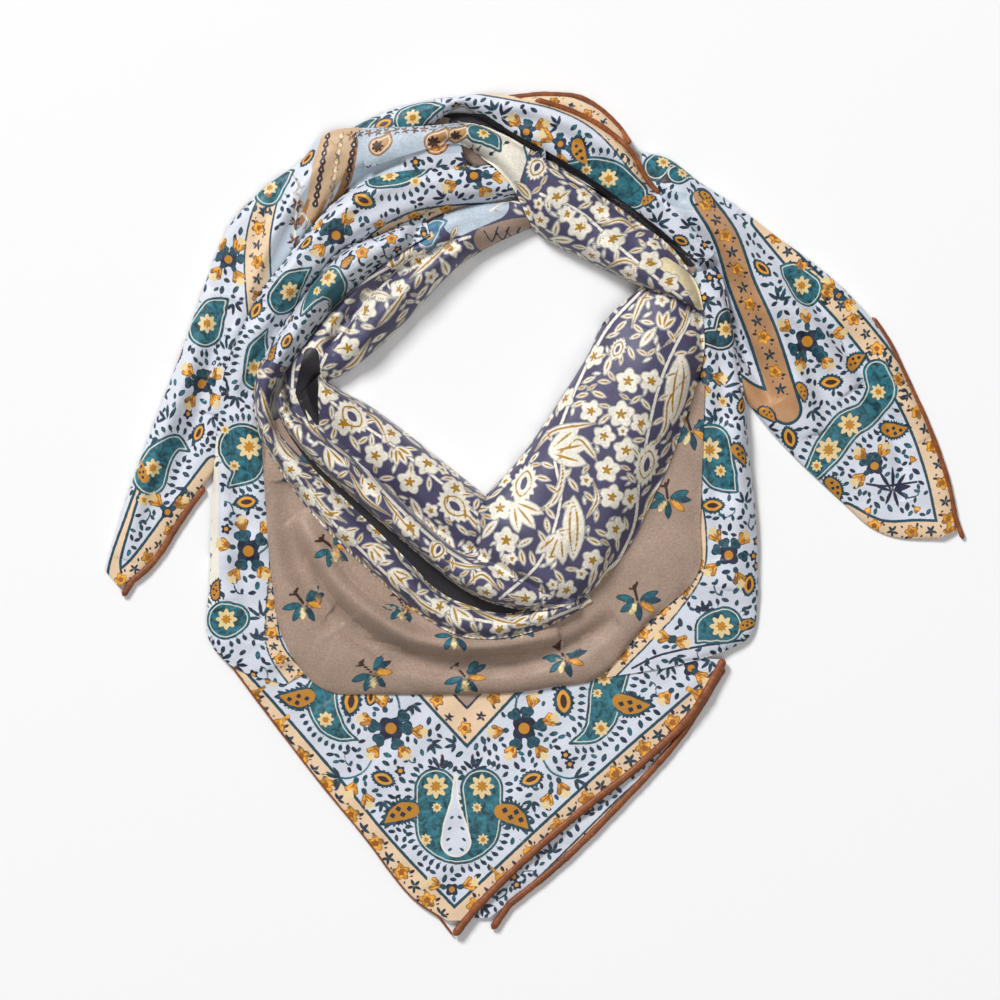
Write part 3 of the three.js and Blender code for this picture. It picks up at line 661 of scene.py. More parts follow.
def scatter_leaves(cloth, keep=None):
    """Fills the border's ground: first small sprigs, buds and flowers, then leaves between them."""
    for at, free, turn, pick in open_places(cloth, 7.5, 3.4, keep):
        foot, tip = away(at, turn, -2.5), away(at, turn, 4.6)
        if pick < 0.45:
            sprig(cloth, foot, tip, (-65, -22, 22, 65), (DEEP_TEAL, NAVY)[int(pick * 10) % 2])
        elif pick < 0.8:
            curl = [foot, away(at, turn + 90, 1.6), tip, away(tip, turn - 90, 2.4)]
            stroke(cloth, curl, 0.85, DEEP_TEAL)
            for share, side in ((0.2, -1), (0.45, 1), (0.7, -1), (0.95, 1)):
                spot = away(along(curl, np.array([share]))[0], turn + 90, side * 1.7)
                sprout(cloth, spot, turn + 50 * side, 3.4, 1.7, (TEAL, DEEP_TEAL)[side > 0])
        else:
            stamp(cloth, "motif", *at, turn, 4, lambda a, b: petals(a, b, 2.9, 5, 0.4), NAVY)
            stamp(cloth, "detail", *at, turn, 3, lambda a, b: np.hypot(a, b) - 1.1, AMBER)
    for at, free, turn, pick in open_places(cloth, 3.7, 1.4, keep):
        length = min(4.8, 2.1 + 0.9 * free)
        sprout(cloth, at, turn, length, 0.52 * length, (DEEP_TEAL, NAVY, TEAL, DEEP_TEAL)[int(4 * pick)])


# The batik side: cream flowers, pods and leaves with ochre veins on plum.


def floret(cloth, at, size=6.0, turn=0):
    """A cream flower with five broad petals and an ochre star."""
    radius = 1.12 * size
    stamp(cloth, "motif", *at, turn, 1.5 * radius, lambda a, b: petals(a, b, radius, 5, 0.28), CREAM)
    stamp(cloth, "detail", *at, turn, radius, lambda a, b: petals(a, b, 0.42 * radius, 5, 0.75), GOLD)


def florets(cloth, spin, *rows):
    """A floret at each x, y of its own size, turned by spin degrees for each millimetre of it."""
    for x, y, size in rows:
        floret(cloth, (x, y), size, spin * size)


def pod(cloth, foot, tip, width=0.5):
    """A cream pod, pointed at both ends, with two ochre stripes along it."""
    middle, turn, length = from_to(foot, tip)
    wide = width * length
    stamp(cloth, "motif", *middle, turn, 0.8 * length, lambda a, b: leaf(a, b, length, wide), CREAM)
    for off in (-0.155 * wide, 0.155 * wide):
        path = np.array([(-0.4, 0.2), (-0.15, 1), (0.15, 1), (0.38, 0.2)]) * (length, off)
        stamp(cloth, "detail", *middle, turn, 0.8 * length,
              lambda a, b: swept(a, b, path, (0.2, 0.62, 0.62, 0.2)), GOLD)


def spiky_pod(cloth, foot, tip, width=0.62):
    """A cream pod with a toothed edge, an ochre outline within and a plum seed."""
    middle, turn, length = from_to(foot, tip)
    wide = width * length
    stamp(cloth, "motif", *middle, turn, 0.8 * length,
          lambda a, b: leaf(a, b, 0.9 * length, 0.9 * wide) - 0.07 * length * teeth(a, b, 16, width), CREAM)
    stamp(cloth, "detail", *middle, turn, length,
          lambda a, b: np.abs(leaf(a, b, 0.62 * length, 0.6 * wide)) - 0.45, GOLD)
    stamp(cloth, "dot", *middle, turn, length, lambda a, b: leaf(a, b, 0.36 * length, 0.26 * wide), PLUM)


def trumpet(cloth, foot, mouth):
    """A cream flower from the side: petals that spread from its foot, with ochre lines."""
    _, turn, length = from_to(foot, mouth)
    for angle, share in ((-27, 0.92), (0, 1.0), (27, 0.92)):
        at = away(foot, turn + angle, 0.5 * share * length)
        sprout(cloth, at, turn + angle, share * length, 0.36 * length, CREAM)
        sprout(cloth, at, turn + angle, 0.72 * share * length, 1.3, GOLD, "detail")


def frond(cloth, points, width=2.6, vein=True):
    """A cream leaf or stem along a curve, widest at its middle, with an ochre vein."""
    stroke(cloth, points, (0.4, 0.8 * width, width, 0.7 * width, 0.3), CREAM, "motif")
    if vein:
        stroke(cloth, points, (0.4, 1.0, 1.0, 0.4), GOLD, "detail")


def veined_leaf(cloth, at, turn, length, width, vein, veined):
    """A cream leaf, with an ochre vein if it's veined."""
    sprout(cloth, at, turn, length, width, CREAM)
    if veined:
        sprout(cloth, at, turn, *vein, GOLD, "detail")


def scatter_petals(cloth, keep=None):
    """Cream leaves and buds wherever the plum ground would stay empty, large ones first."""
    for spacing, clear, slim in ((8.5, 2.9, 0.36), (4.6, 1.35, 0.38)):
        for at, free, turn, pick in open_places(cloth, spacing, clear, keep):
            if pick < 0.3 and free > 2.6:
                size = min(4.6, free + 0.6)
                stamp(cloth, "motif", *at, turn, 6, lambda a, b: petals(a, b, size, 5, 0.3), CREAM)
                stamp(cloth, "detail", *at, turn, 4, lambda a, b: petals(a, b, 0.42 * size, 5, 0.7), GOLD)
            else:
                length = min(15.0, 2.4 + 2.3 * free)
                veined_leaf(cloth, at, turn, length, slim * length, (0.72 * length, 1.1), length > 6.5)


def vine(cloth, points, pitch=6.0, width=1.5, leaves=9.0):
    """A cream stem with a leaf to each side by turns."""
    stroke(cloth, points, width, CREAM)
    curve = along(points, np.linspace(0, 1, 300))
    run = run_of(curve)
    for k, place in enumerate(np.arange(pitch / 2, run[-1], pitch)):
        step = min(np.searchsorted(run, place), 298)
        turn = from_to(curve[step], curve[step + 1])[1] + (55 if k % 2 else -55)
        at = away(curve[step], turn, 0.55 * leaves)
        veined_leaf(cloth, at, turn, leaves, 0.36 * leaves, (0.7 * leaves, 1.0), leaves > 6)


# ---------------------------------------------------------------- where the motifs lie


def print_front_point(cloth):
    """The corner of the border: two joined paisleys under the point of the inner band."""
    band(cloth, [(-165.5, -66), (-137, -97.5), (-98.5, -142.5), (-74, -171.5), (-41, -206)],
         (12, 13.4, 14, 14, 14), PEACH, 1.6,
         [(-41, -206), (-7, -174), (22, -147), (51, -120.5), (86.5, -89), (108, -68)],
         (14, 14, 14, 13, 12, 11))
    each(cloth, band_row, ([(-156, -75), (-137, -97.5), (-99, -142.5), (-74, -171.5), (-46, -201.5)], 2),
         ([(-32, -197), (-7, -173.5), (22, -145.5), (51, -119.5), (86.5, -88)], 2))
    for layer, reach, deep, line, colour in (
            ("area", 60, 32.5, 0, PEACH), ("stroke", 60, 32.5, 0.8, DEEP_TEAL),
            ("detail", 40, 15, 0, BEIGE), ("dot", 40, 15, 0.6, NAVY)):
        def corner(a, b):
            """Signed distance to a right angle, or to a line along it."""
            inside = (np.abs(b) + 0.93 * a - deep) * 0.73
            return np.abs(inside) - line if line else inside

        stamp(cloth, layer, -34.5, -81, -90, reach, corner, colour)
    for at in ((-49.5, -93), (-21, -92), (-35.5, -107)):
        band_flower(cloth, at, 40, 3.8)
    for at in ((-43.5, -101.5), (-27.5, -101), (-56, -87.5), (-14, -86.5)):
        clump(cloth, at, 60, 3, NAVY)
    lobe = np.array([(-50, -137.5), (-51, -149), (-51, -160), (-45, -168.5), (-38, -171.5)])
    other = np.array([(-27, -137.5), (-26.5, -149), (-27, -160), (-33, -168.5), (-40, -171.5)])
    radii = (10.8, 9.8, 8.6, 5.2, 3.5)
    each(cloth, paisley, (lobe, radii, ((-50, -136, 6.2), (-49.5, -146.5, 2.6), (-55, -162.5, 3.0))),
         (other, radii, ((-27, -136, 6.2), (-29.5, -146.5, 2.6), (-26.5, -162.5, 3.0))),
         ([(38, -78), (35, -90), (33, -101), (28, -109.5), (17, -114.5)], (9.2, 9, 8, 5.2, 0.8),
          ((32.5, -107, 4.2), (34, -81.5, 4.5), (30.5, -89.5, 2.6))),
         ([(-107, -88), (-106.5, -96), (-103, -104), (-97.5, -109.5), (-89.5, -112.5)], (8, 8, 7, 4.4, 0.8),
          ((-105, -102.5, 4.2),)))
    drop = [(0, 33), (-0.5, 20), (-0.5, 8), (0, 0)]
    for layer, radii, colour in (("detail", (0.8, 2.2, 6, 7.8), CREAM), ("dot", (0.1, 1.3, 5.1, 6.9), ICE)):
        stamp(cloth, layer, -40, -163.5, 0, 46, lambda a, b: swept(a, b, drop, radii), colour)
    for side in (-1, 1):
        for rise, aside in ((-167.5, 3), (-162.5, 4), (-157, 3.2), (-151.5, 2)):
            sprout(cloth, (-40 + side * aside, rise), 90 + side * 55, 2.8, 1.4, DEEP_TEAL, "seed")
    each_way(cloth, bean, (-58, -147, -76.5, -151, -1), (-21, -147, -2.5, -154), (38, -92, 56, -98.5, -1),
             (-110, -90, -127.5, -94))
    for side, middle in ((-1, -41.5), (1, -37)):
        def at(out, y):
            """A place that is mirrored about the middle of the point."""
            return middle + side * out, y

        bouquet(cloth, at(31, -107), [at(35, -94), at(43, -103), at(18, -108.5), at(25, -118), at(39, -118)])
        each(cloth, eye, (at(29, -134.5), at(40.5, -130)), (at(50, -86), at(51.5, -101)))
        each(cloth, stroke, ([at(27, -101), at(27, -94), at(31, -88), at(44, -85.5)], 1.3),
             ([at(40, -122), at(45, -129), at(54, -132), at(63, -129)], 1.1),
             ([at(13, -133), at(8, -129), at(5.5, -120)], 0.9, "#9c5a3a"))
        each(cloth, fan, (at(46, -128), at(50, -136.5)), (at(46, -134), at(43, -142)))
        each(cloth, sprig, (at(56, -132), at(65, -133)), (at(35, -143), at(34, -150)),
             (at(6, -128), at(8, -119), (-60, -20, 20, 60), NAVY))
    eye(cloth, (-82, -87), (-83, -96))
    each(cloth, bouquet, ((77.5, -77), [(65, -91), (82, -81), (68, -73)], 4.5, False),
         ((-137, -75), [(-142, -69), (-133, -81)], 4, False),
         ((-42, -187.5), [(-50, -185), (-34, -185)], 3.6, False))
    sprig(cloth, (66, -73), (62, -83), (-50, -15, 20, 50))
    stroke(cloth, [(48, -77), (61.5, -70.5), (82, -66)], 1.2, NAVY)
    scatter_leaves(cloth)


def print_left_side(cloth):
    """The left side of the border, from the roll at the top down to the corner of the point."""
    stamp(cloth, "area", -161.5, 7, 90, 75, lambda a, b: np.maximum(np.abs(b) - 4.2, np.abs(a) - 52), CREAM)
    for k in range(26):
        sprout(cloth, (-163.5 + 0.8 * (k % 2), 56 - 4 * k), 20 + 140 * (k % 3), 2.6, 1.3,
               TEAL if k % 2 else OCHRE)
    band(cloth, [(-132, 19), (-131, -23), (-132, -52), (-130, -67), (-120, -81), (-107, -91)],
         (1.5, 3.5, 6, 8, 10, 10))
    band_row(cloth, [(-131.5, -23), (-131.5, -63), (-123, -77), (-112, -85)], 8, 7, 3.2)
    each(cloth, paisley, ([(-146.5, 33), (-144, 23), (-153, 14)], (12.5, 8, 1.5),
                          ((-143, 33.5, 6.5), (-150.5, 24, 3.0), (-155, 42, 2.6))),
         ([(-155, -53), (-150, -52), (-145, -48)], (9.8, 7.5, 0.8), ((-154.5, -52.5, 5.5),)),
         ([(-78, 168), (-66, 168), (-53, 172)], (8, 7, 1), ((-73, 168.5, 4.8), (-60, 165.5, 3.2))),
         ([(-125, 107), (-121, 115), (-112, 122)], (9, 7, 1), ((-122.5, 110.5, 5.2),)),
         ([(-140.5, 69), (-139, 82), (-134, 92)], (7.5, 6, 1), ((-140.5, 73, 4.4),)))
    each_way(cloth, eye, (-150.5, 5.5, -138.5, 6.5), (-92, 159, -80, 153), (-141, 55, -132, 52),
             (-142, 97, -137, 106), (-118, 132, -111, 138))
    each(cloth, bouquet,
         ((-143.5, -18.5), [(-146.5, -6), (-135.5, -7.5), (-155, -15.5), (-150, -29.5), (-137, -28)]),
         ((-99.5, 138.5), [(-108, 144), (-94.5, 146), (-107, 132), (-92, 132)], 5.5),
         ((-31, 168.5), [(-42, 163.5), (-19.5, 168), (-37, 174), (-26, 161)], 5))
    stroke(cloth, [(-133.5, 12), (-132, -3.5), (-133.5, -15), (-138.5, -20)], 1.2)
    each_way(cloth, sprig, (-137, -52, -142, -43), (-139, -63, -137, -56))
    bean(cloth, (-160, -43), (-160, -33))
    band(cloth, [(-15.5, 154), (-40.5, 151), (-59, 146), (-75.5, 137), (-92, 123)], (3, 6, 10, 12, 10))
    for at in ((-78, 144), (-61, 148.5), (-45, 152.5), (-88, 133)):
        band_flower(cloth, at, 25, 3.6)
    for at in ((-68.5, 146), (-53, 151), (-83, 139)):
        clump(cloth, at, 20, 3)
    scatter_leaves(cloth)


def print_right_side(cloth):
    """The right side of the border, down to where it turns under the corner of the point."""
    paisley(cloth, [(96, 96), (93, 88), (86, 88)], (7, 6.5, 5), ((94.5, 92, 4.4),), colour=DEEP_TEAL)
    each(cloth, bouquet, ((83, 69.5), [(82, 76), (83.5, 63), (90, 68)], 4),
         ((96, -20.5), [(90, -11.5), (103, -13), (88, -27), (101, -31.5)], 5.6),
         ((68, -62.5), [(64, -61.5), (72, -63.5)], 2.6, False))
    each_way(cloth, sprig, (93, 63, 95.5, 75), (84, -49, 85, -42, (-60, -20, 20, 60), NAVY),
             (89, 47, 82, 51))
    blossom(cloth, (93, 56), 3)
    band(cloth, [(79, 18), (81.5, -8), (79, -28), (66, -46), (52, -61), (35, -79)],
         (3.5, 6.5, 9, 11, 11, 10))
    band_row(cloth, [(81.5, -23), (74.5, -37), (62.5, -48), (51, -62.5), (40, -74)], 2, 7.4, 3.6)
    each(cloth, paisley,
         ([(86, 33), (92, 20), (100, 12)], (12, 9, 1.5), ((86.5, 32, 6.2), (92, 21.5, 3.2))),
         ([(94, -55.5), (87, -57), (80, -64)], (9.5, 8, 1), ((92.5, -56, 6),)))
    each_way(cloth, bean, (97, 34, 106, 26), (101, -57, 110, -53))
    each_way(cloth, eye, (82, 4, 94, 4.5), (107, -29.5, 105.5, -41), (101, 50, 104, 58))
    stroke(cloth, [(48, -77), (61.5, -70.5), (82, -66), (103, -63)], 1.2, NAVY)
    band(cloth, [(107, -74), (112, -67)], 10)
    scatter_leaves(cloth)


def print_left_tail(cloth):
    """The tail on the left: its border's inner band, and the edge of the medallion ground."""
    medallion = [(-50, 0), (0, 0), (26, 4)]
    stamp(cloth, "area", -101, 159, 62, 80, lambda a, b: swept(a, b, medallion, (9, 15, 18)), MIST)
    each(cloth, stroke, ([(-96, 193), (-103, 173), (-112, 150)], (19, 17, 7), "#c4a684", "stroke"),
         ([(-103, 191), (-90, 190), (-58, 190), (-33, 191)], 22, MIST, "area"))
    band(cloth, [(-130, 168), (-137, 146), (-139, 126), (-137, 97)], (8, 11.5, 13, 13))
    each(cloth, band_row, ([(-132, 162), (-138, 144), (-139, 126), (-138, 98)], 3, 8.6, 3.8),
         ([(-209, -34), (-193, -21), (-178, -2), (-164, 17)], 2, 8.6, 3.6))
    for shift in (0, 1, 2):
        line = [(-104 + 7 * shift, 190), (-108 + 7 * shift, 168), (-117 + 6 * shift, 146)]
        stroke(cloth, line, (4.6, 4.6, 3), ("#9c6c3c", "#a9793f", "#9c6c3c")[shift])
        for k in range(9):
            at = (-104 + 7 * shift - 0.75 * k, 188 - 4.2 * k)
            paisley(cloth, [at, (at[0] + 0.6, at[1] + 2.4)], (1.7, 0.6), (), False,
                    (SEPIA, "#e0c39a", SEPIA)[shift])
    for k in range(5):
        frond(cloth,
              [(-122 + 2 * k, 170 - 9 * k), (-118 + 2 * k, 164 - 9 * k), (-121 + 2 * k, 158 - 9 * k)], 1.6,
              False)
    vine(cloth, [(-120, 126), (-120, 145), (-118, 164)], 3.4, 0.9, 3.6)
    for at in ((-120, 145), (-119, 154), (-120.5, 136)):
        clump(cloth, at, 30, 4, BROWN)
    each(cloth, paisley,
         ([(-50, 186), (-56, 189), (-64, 188)], (7, 5, 1), ((-51, 186.5, 3.6),), False, "#c07a34"),
         ([(-69, 187), (-74, 191), (-78, 184)], (6, 4.5, 1), ((-69, 187.5, 3.2),), False, "#9db4c4"),
         ([(-134, 161), (-128, 168), (-121, 171)], (7.5, 6, 1), ((-133, 163, 4.2),)),
         ([(-165, 92), (-161, 101), (-154, 107)], (9, 7, 1), ((-164, 95, 5),)),
         ([(-193, 18), (-188, 29), (-180, 35), (-173, 31)], (8.5, 7.5, 5, 1), ((-191, 23, 4.8),)))
    for x in range(7):
        clump(cloth, (-92 + 11 * x, 188.5 + 0.4 * x), 30 * x, 3.2, ("#b07a44", BROWN)[x % 2])
    each_way(cloth, eye, (-118, 174, -110, 181), (-181, 74, -175, 84), (-166, 45, -171, 36),
             (-150, 150, -144, 158))
    each(cloth, bouquet, ((-153.5, 127), [(-157, 134), (-149, 133), (-159, 121), (-149, 119)], 5),
         ((-167, 65), [(-173, 71), (-160, 69), (-172, 57), (-161, 58)], 5.5),
         ((-184, 1), [(-189, 6), (-178, 5)], 3.6, False))
    each_way(cloth, bean, (-193, 16, -200, 26), (-178, 107, -172, 119))
    each_way(cloth, sprig, (-183, 47, -188, 55), (-173, 12, -179, 4), (-154, 82, -152, 90))
    blossom(cloth, (-195.5, 7), 3.4)
    band(cloth, [(-210, -35), (-198, -26), (-180, -3), (-160, 23)], (10, 11, 12, 12), PEACH, 1.5,
         [(-210, -35), (-210, -23), (-203, -1), (-190, 37)], (9, 5, 3.5, 1.5))
    scatter_leaves(cloth)


def print_right_tail(cloth):
    """The tail on the right, with its folded inner band and its outer corner."""
    # painted shade: this inner band is a darker peach than the others, for the shade of the fold valley it
    # lies in
    band(cloth, [(82, 157), (94, 138.5), (102.5, 114), (113.5, 87.5), (125, 52)], (10, 12, 12.5, 14, 14),
         "#b88b63", 1.6, [(125, 52), (106, 60), (88, 76)], (14, 11, 8))
    each(cloth, band_row, ([(82, 157), (94, 138.5), (102.5, 114), (113.5, 87.5), (123, 59)], 4, 9, 4),
         ([(117.5, 140.5), (138, 117), (161, 94), (184.5, 61), (200, 28), (206, -3)], 3, 9.4, 3.8),
         ([(210, -8.5), (198, -8.5), (177, -8.5), (163, -3)], 3, 9.6, 3.8))
    band(cloth, [(111, 146), (132.5, 122), (157, 97), (183.5, 62), (199, 28), (208, -10)],
         (7, 9, 11, 12, 13, 13), PEACH, 1.5, [(208, -10), (191, -9), (172, -7.5), (155, 3)], (13, 12, 9, 5))
    each(cloth, paisley, ([(60, 172), (65, 178), (73, 176)], (7, 6, 4), ((63.5, 175.5, 3.6),)),
         ([(70, 167), (75, 171), (82, 170)], (6, 5, 1), ((73, 170, 3),)),
         ([(134, 112), (128, 119), (122, 123)], (9, 7, 1), ((132.5, 114, 5),)),
         ([(170, 71), (172.5, 61), (165, 50), (155, 44), (146, 32), (138, 20)], (6.5, 7.8, 7, 8, 8, 5),
          ((171, 61, 4.2), (156.5, 44.5, 6), (146, 32, 6.4), (140, 24, 3))))
    each(cloth, stroke, ([(64, 168), (74, 169)], 7, SEPIA, "area"),
         ([(68, 157), (77, 155)], 8, MIST, "area"), ([(165, 15), (174, 14), (190, 16)], 1.2, NAVY))
    each_way(cloth, bean, (82, 161, 89, 154), (172, 43, 186, 41, -1), (145, 18, 153, 8, 1),
             (111, 52, 120, 48), (130, 65, 135, 57), (155, 71, 163, 81))
    each_way(cloth, sprig, (121, 106, 122, 115), (178, 11, 176, 25, (-80, -45, -10, 25, 60), NAVY),
             (178, 13, 185, 4, (-60, -20, 20, 60), NAVY))
    each(cloth, bouquet, ((135, 86), [(134.5, 97.5), (124.5, 93), (150.5, 90), (132, 76), (144, 76)]),
         ((169, 24), [(163, 29), (173, 31), (162, 18)], 5),
         ((151, 109), [(147, 114), (156, 105)], 3.4, False))
    each_way(cloth, eye, (141, 65, 153, 66.5), (125, 44, 128, 32), (108, 126, 117, 119))
    for foot, top in (((183.5, 20), (188, 27)), ((170, 8), (166, 2)), ((184, 8), (190, 2.5))):
        fan(cloth, foot, top, 3)
    scatter_leaves(cloth)


def print_top_band(cloth):
    """The border where it rolls over the back of the neck."""
    band(cloth, [(-33, 211), (-12, 208.5), (12, 205), (34, 193), (54, 169)], (2, 5, 9, 10, 9))
    band_row(cloth, [(-12, 208.5), (12, 205), (32, 194), (52, 171)], 4, 9, 3.2)
    each(cloth, paisley, ([(-63, 196), (-56, 201), (-46, 203)], (8, 6, 1), ((-61.5, 197.5, 4.4),)),
         ([(-92, 190), (-86, 195), (-78, 197)], (6, 5, 1), ((-91, 191, 3.2),)),
         ([(48, 159), (38, 167), (28, 171), (17, 172)], (8, 9, 7, 4), ((36, 167, 5), (25, 171, 3))))
    each_way(cloth, eye, (-81, 193, -71, 196), (68, 138, 76, 134))
    each_way(cloth, sprig, (-35, 199, -25, 202), (-18, 197, -9, 201, (-60, -20, 20, 60), NAVY),
             (60, 144, 66, 150))
    each(cloth, bouquet, ((-5, 190), [(-10, 195), (2, 193), (-1, 184)], 4.2),
         ((12, 184), [(6, 187), (12, 177)], 3.8))
    each_way(cloth, bean, (20, 187, 23, 173, -1), (52, 154, 59, 159))
    # painted shade: near-black along the groove between this band and the stretch that crosses the neck
    stroke(cloth, [(-37, 198), (-27, 196), (-13, 189), (18.5, 171), (53.5, 146.5), (77, 126)],
           (2, 7, 3, 3, 3, 4), SHADE, "seed")
    scatter_leaves(cloth)


def print_under_edges(cloth):
    """The plain run of the border's outer band, on the layers that only show at their edges."""
    if cloth["name"] == "under_point":
        band(cloth, [(94, -88), (77, -117), (42, -150.5), (6, -186), (-22, -211)], 13)
        band_row(cloth, [(90, -93), (72, -119), (39, -151), (4.5, -183), (-22, -208)], 3, 9.4, 3.6)
    else:
        band(cloth, [(-14, 207.5), (12, 206), (34, 196), (46, 184)], 8)
        band_row(cloth, [(-12, 207), (12, 205.5), (34, 195)], 3, 9, 3)
    scatter_leaves(cloth)


def print_field_sprigs(cloth):
    """Scattered sprigs of teal leaves on the melange ground."""
    # the floor of the deep fold between the loop's outer roll and its front, all shade
    deep = [(-128, 57), (-117, 40), (-103.5, 22), (-89, 6.5), (-74, -10), (-56, -27), (-31, -44), (-3, -49),
            (15, -47)]
    stroke(cloth, deep, (9, 11, 11, 11, 10, 9, 8, 6, 3), SHADE, "seed")
    for x, y, turn in ((-116, -44.5, 0), (-101.5, -16.5, 15), (-66.5, -45.5, -8), (-82, -79, 10),
                       (-35.5, -81, 4), (14, -71.5, -12), (50.5, -43, -25), (65.5, 8, -30), (-40.5, -59, 0),
                       (-8, -54, 8), (-118, 22, 20), (77, 42, -20)):
        for angle, reach, colour in ((-165, 11, TEAL), (-120, 10.5, TEAL), (-58, 10.5, DEEP_TEAL),
                                     (25, 12, DEEP_TEAL), (48, 11.5, TEAL), (-8, 11, AMBER),
                                     (-92, 9, BUTTER)):
            middle = away((x, y), angle + turn, 0.56 * reach)
            stamp(cloth, "motif", *middle, angle + turn, reach, lambda a, b: leaf(a, b, 0.95 * reach, 3.8),
                  colour)
        end = away((x, y), 128 + turn, 7.5)
        each(cloth, stroke, ([(x, y), end], 1.5, SEPIA),
             ([end + (-2.2, -1.5), end + (0.4, -1.2), end + (1.6, 1.6)], 1.4, SEPIA))


def print_neck_back(cloth):
    """The medallion ground inside the neck: brown vine on beige."""
    for foot, top in (((32, 159), (42, 154)), ((41, 151), (52, 144)), ((2, 182), (12, 175)),
                      ((22, 164), (30, 167)), ((52, 138), (63, 131)), ((-43, 198), (-35, 196))):
        sprig(cloth, foot, top, (-70, -25, 25, 70), SEPIA)
    for at in ((37, 149), (49, 146), (12, 169), (26, 157), (60, 134)):
        clump(cloth, at, 20, 4, NAVY)
    # painted shade: near-black along the groove under the edge of the stretch that crosses the neck
    deep = [(-48, 201), (-28, 197), (-8, 188), (18.5, 172), (36, 160), (53.5, 147.5), (77, 126)]
    stroke(cloth, deep, (4, 9, 6, 6, 6, 6, 6), SHADE, "seed")


def print_cowl_front(cloth):
    """The widest stretch of the batik side."""
    florets(cloth, 25, (28.5, 78.5, 6.6), (14.5, 57.5, 6.5), (27, 51, 5.6), (42, 49.5, 6.4), (52, 45, 5.4),
            (44.5, 31.5, 6.2), (33.5, 38.5, 5.6), (35, 22, 6.2), (37.5, 8.5, 6), (47, 8, 5.4),
            (39.5, -7.5, 6), (57, 66, 5.6), (45.5, 66, 6.2), (-18, 3, 6.4), (-15, -13, 6.4),
            (-18, -29, 6.2), (6, 47, 4.6), (-81.5, 14, 6.2), (-62.5, -6, 6.4), (-5.5, -42, 6),
            (28, -23, 5.6), (15, -38, 5.4), (-25, -39, 5.2), (27, 92, 4.6))
    floret(cloth, (80, 96.5), 4.6)
    each_way(cloth, pod, (70, 43, 71, 81, 0.4), (18.5, -24, 18.5, 10, 0.34),
             (52, -19, 30, -37, 0.34))
    each_way(cloth, spiky_pod, (-8, 4.5, -4.5, 26), (54, 13, 56, 36), (-52, -24, -45, -11),
             (38, 76, 43, 88))
    each_way(cloth, trumpet, (5, 31, 28, 35), (-12, 7, 0, -8), (12, -9, 5, -26), (-104, 35, -94.5, 22),
             (62, 91, 66, 102), (30, -41, 42, -31))
    each(cloth, frond, ([(-1, 31), (8, 41), (22, 44), (30, 45)], 4.2),
         ([(10, 26), (20, 37), (27, 31), (30, 26)], 5), ([(0, 1), (9, 7), (13, 19), (12, 31)], 4.4),
         ([(58, 34), (64, 43), (66, 57), (77, 71)], 4), ([(47, 92), (52, 105), (57, 112)], 4),
         ([(-119, 57), (-113, 45), (-105, 36)], 4), ([(-35, -36), (-27, -30), (-18, -38)], 4),
         ([(52, -8), (57, 7), (66, 19), (77, 37)], 4.4), ([(24, -3), (30, 7), (28, 17)], 3.4),
         ([(2, -45), (17, -46), (32, -39), (44, -26)], 3.6), ([(-76, 9), (-70, 1), (-58, -13)], 3),
         ([(-93, 22), (-85, 8), (-72, -1)], 3.2), ([(-45, -23), (-35, -26), (-25, -26)], 3.4),
         ([(35, -38), (50, -21), (57, -3)], 3), ([(77, 107), (72, 92), (62, 82)], 3.2))
    each(cloth, vine, ([(-18, -42), (2, -23), (12, 7), (10, 37), (32, 87), (52, 111)], 6.5),
         ([(32, -38), (48, -8), (52, 22), (62, 67), (79, 102)], 6),
         ([(-120, 59), (-98, 37), (-72, 7), (-48, -15), (-28, -28)], 6))
    scatter_petals(cloth)


def print_cowl_inner(cloth):
    """The inner roll of the loop: florets, toothed pods and a vine."""
    # painted shade: near-black in the deep hole between the loop's rolls at its upper left
    stroke(cloth, [(-115, 74), (-114, 61), (-109, 45)], (14, 12, 2), SHADE, "seed")
    each_way(cloth, spiky_pod, (-98, 56, -85, 41, 0.7), (-48, 11, -33, -3, 0.7))
    for at in ((-72, 40.5), (-54, 25.5), (-40, 13), (-104, 61), (-80, 29), (-63, 16), (-96, 45)):
        floret(cloth, at, 6.2, at[0])
    trumpet(cloth, (-70, 34), (-64, 24))
    each(cloth, frond, ([(-37, 2), (-30, -5), (-25, -13)], 4), ([(-85, 51), (-78, 45), (-73, 33)], 3.4))
    vine(cloth, [(-113, 65), (-93, 49), (-68, 32), (-43, 12), (-26, -3)], 6)
    scatter_petals(cloth)


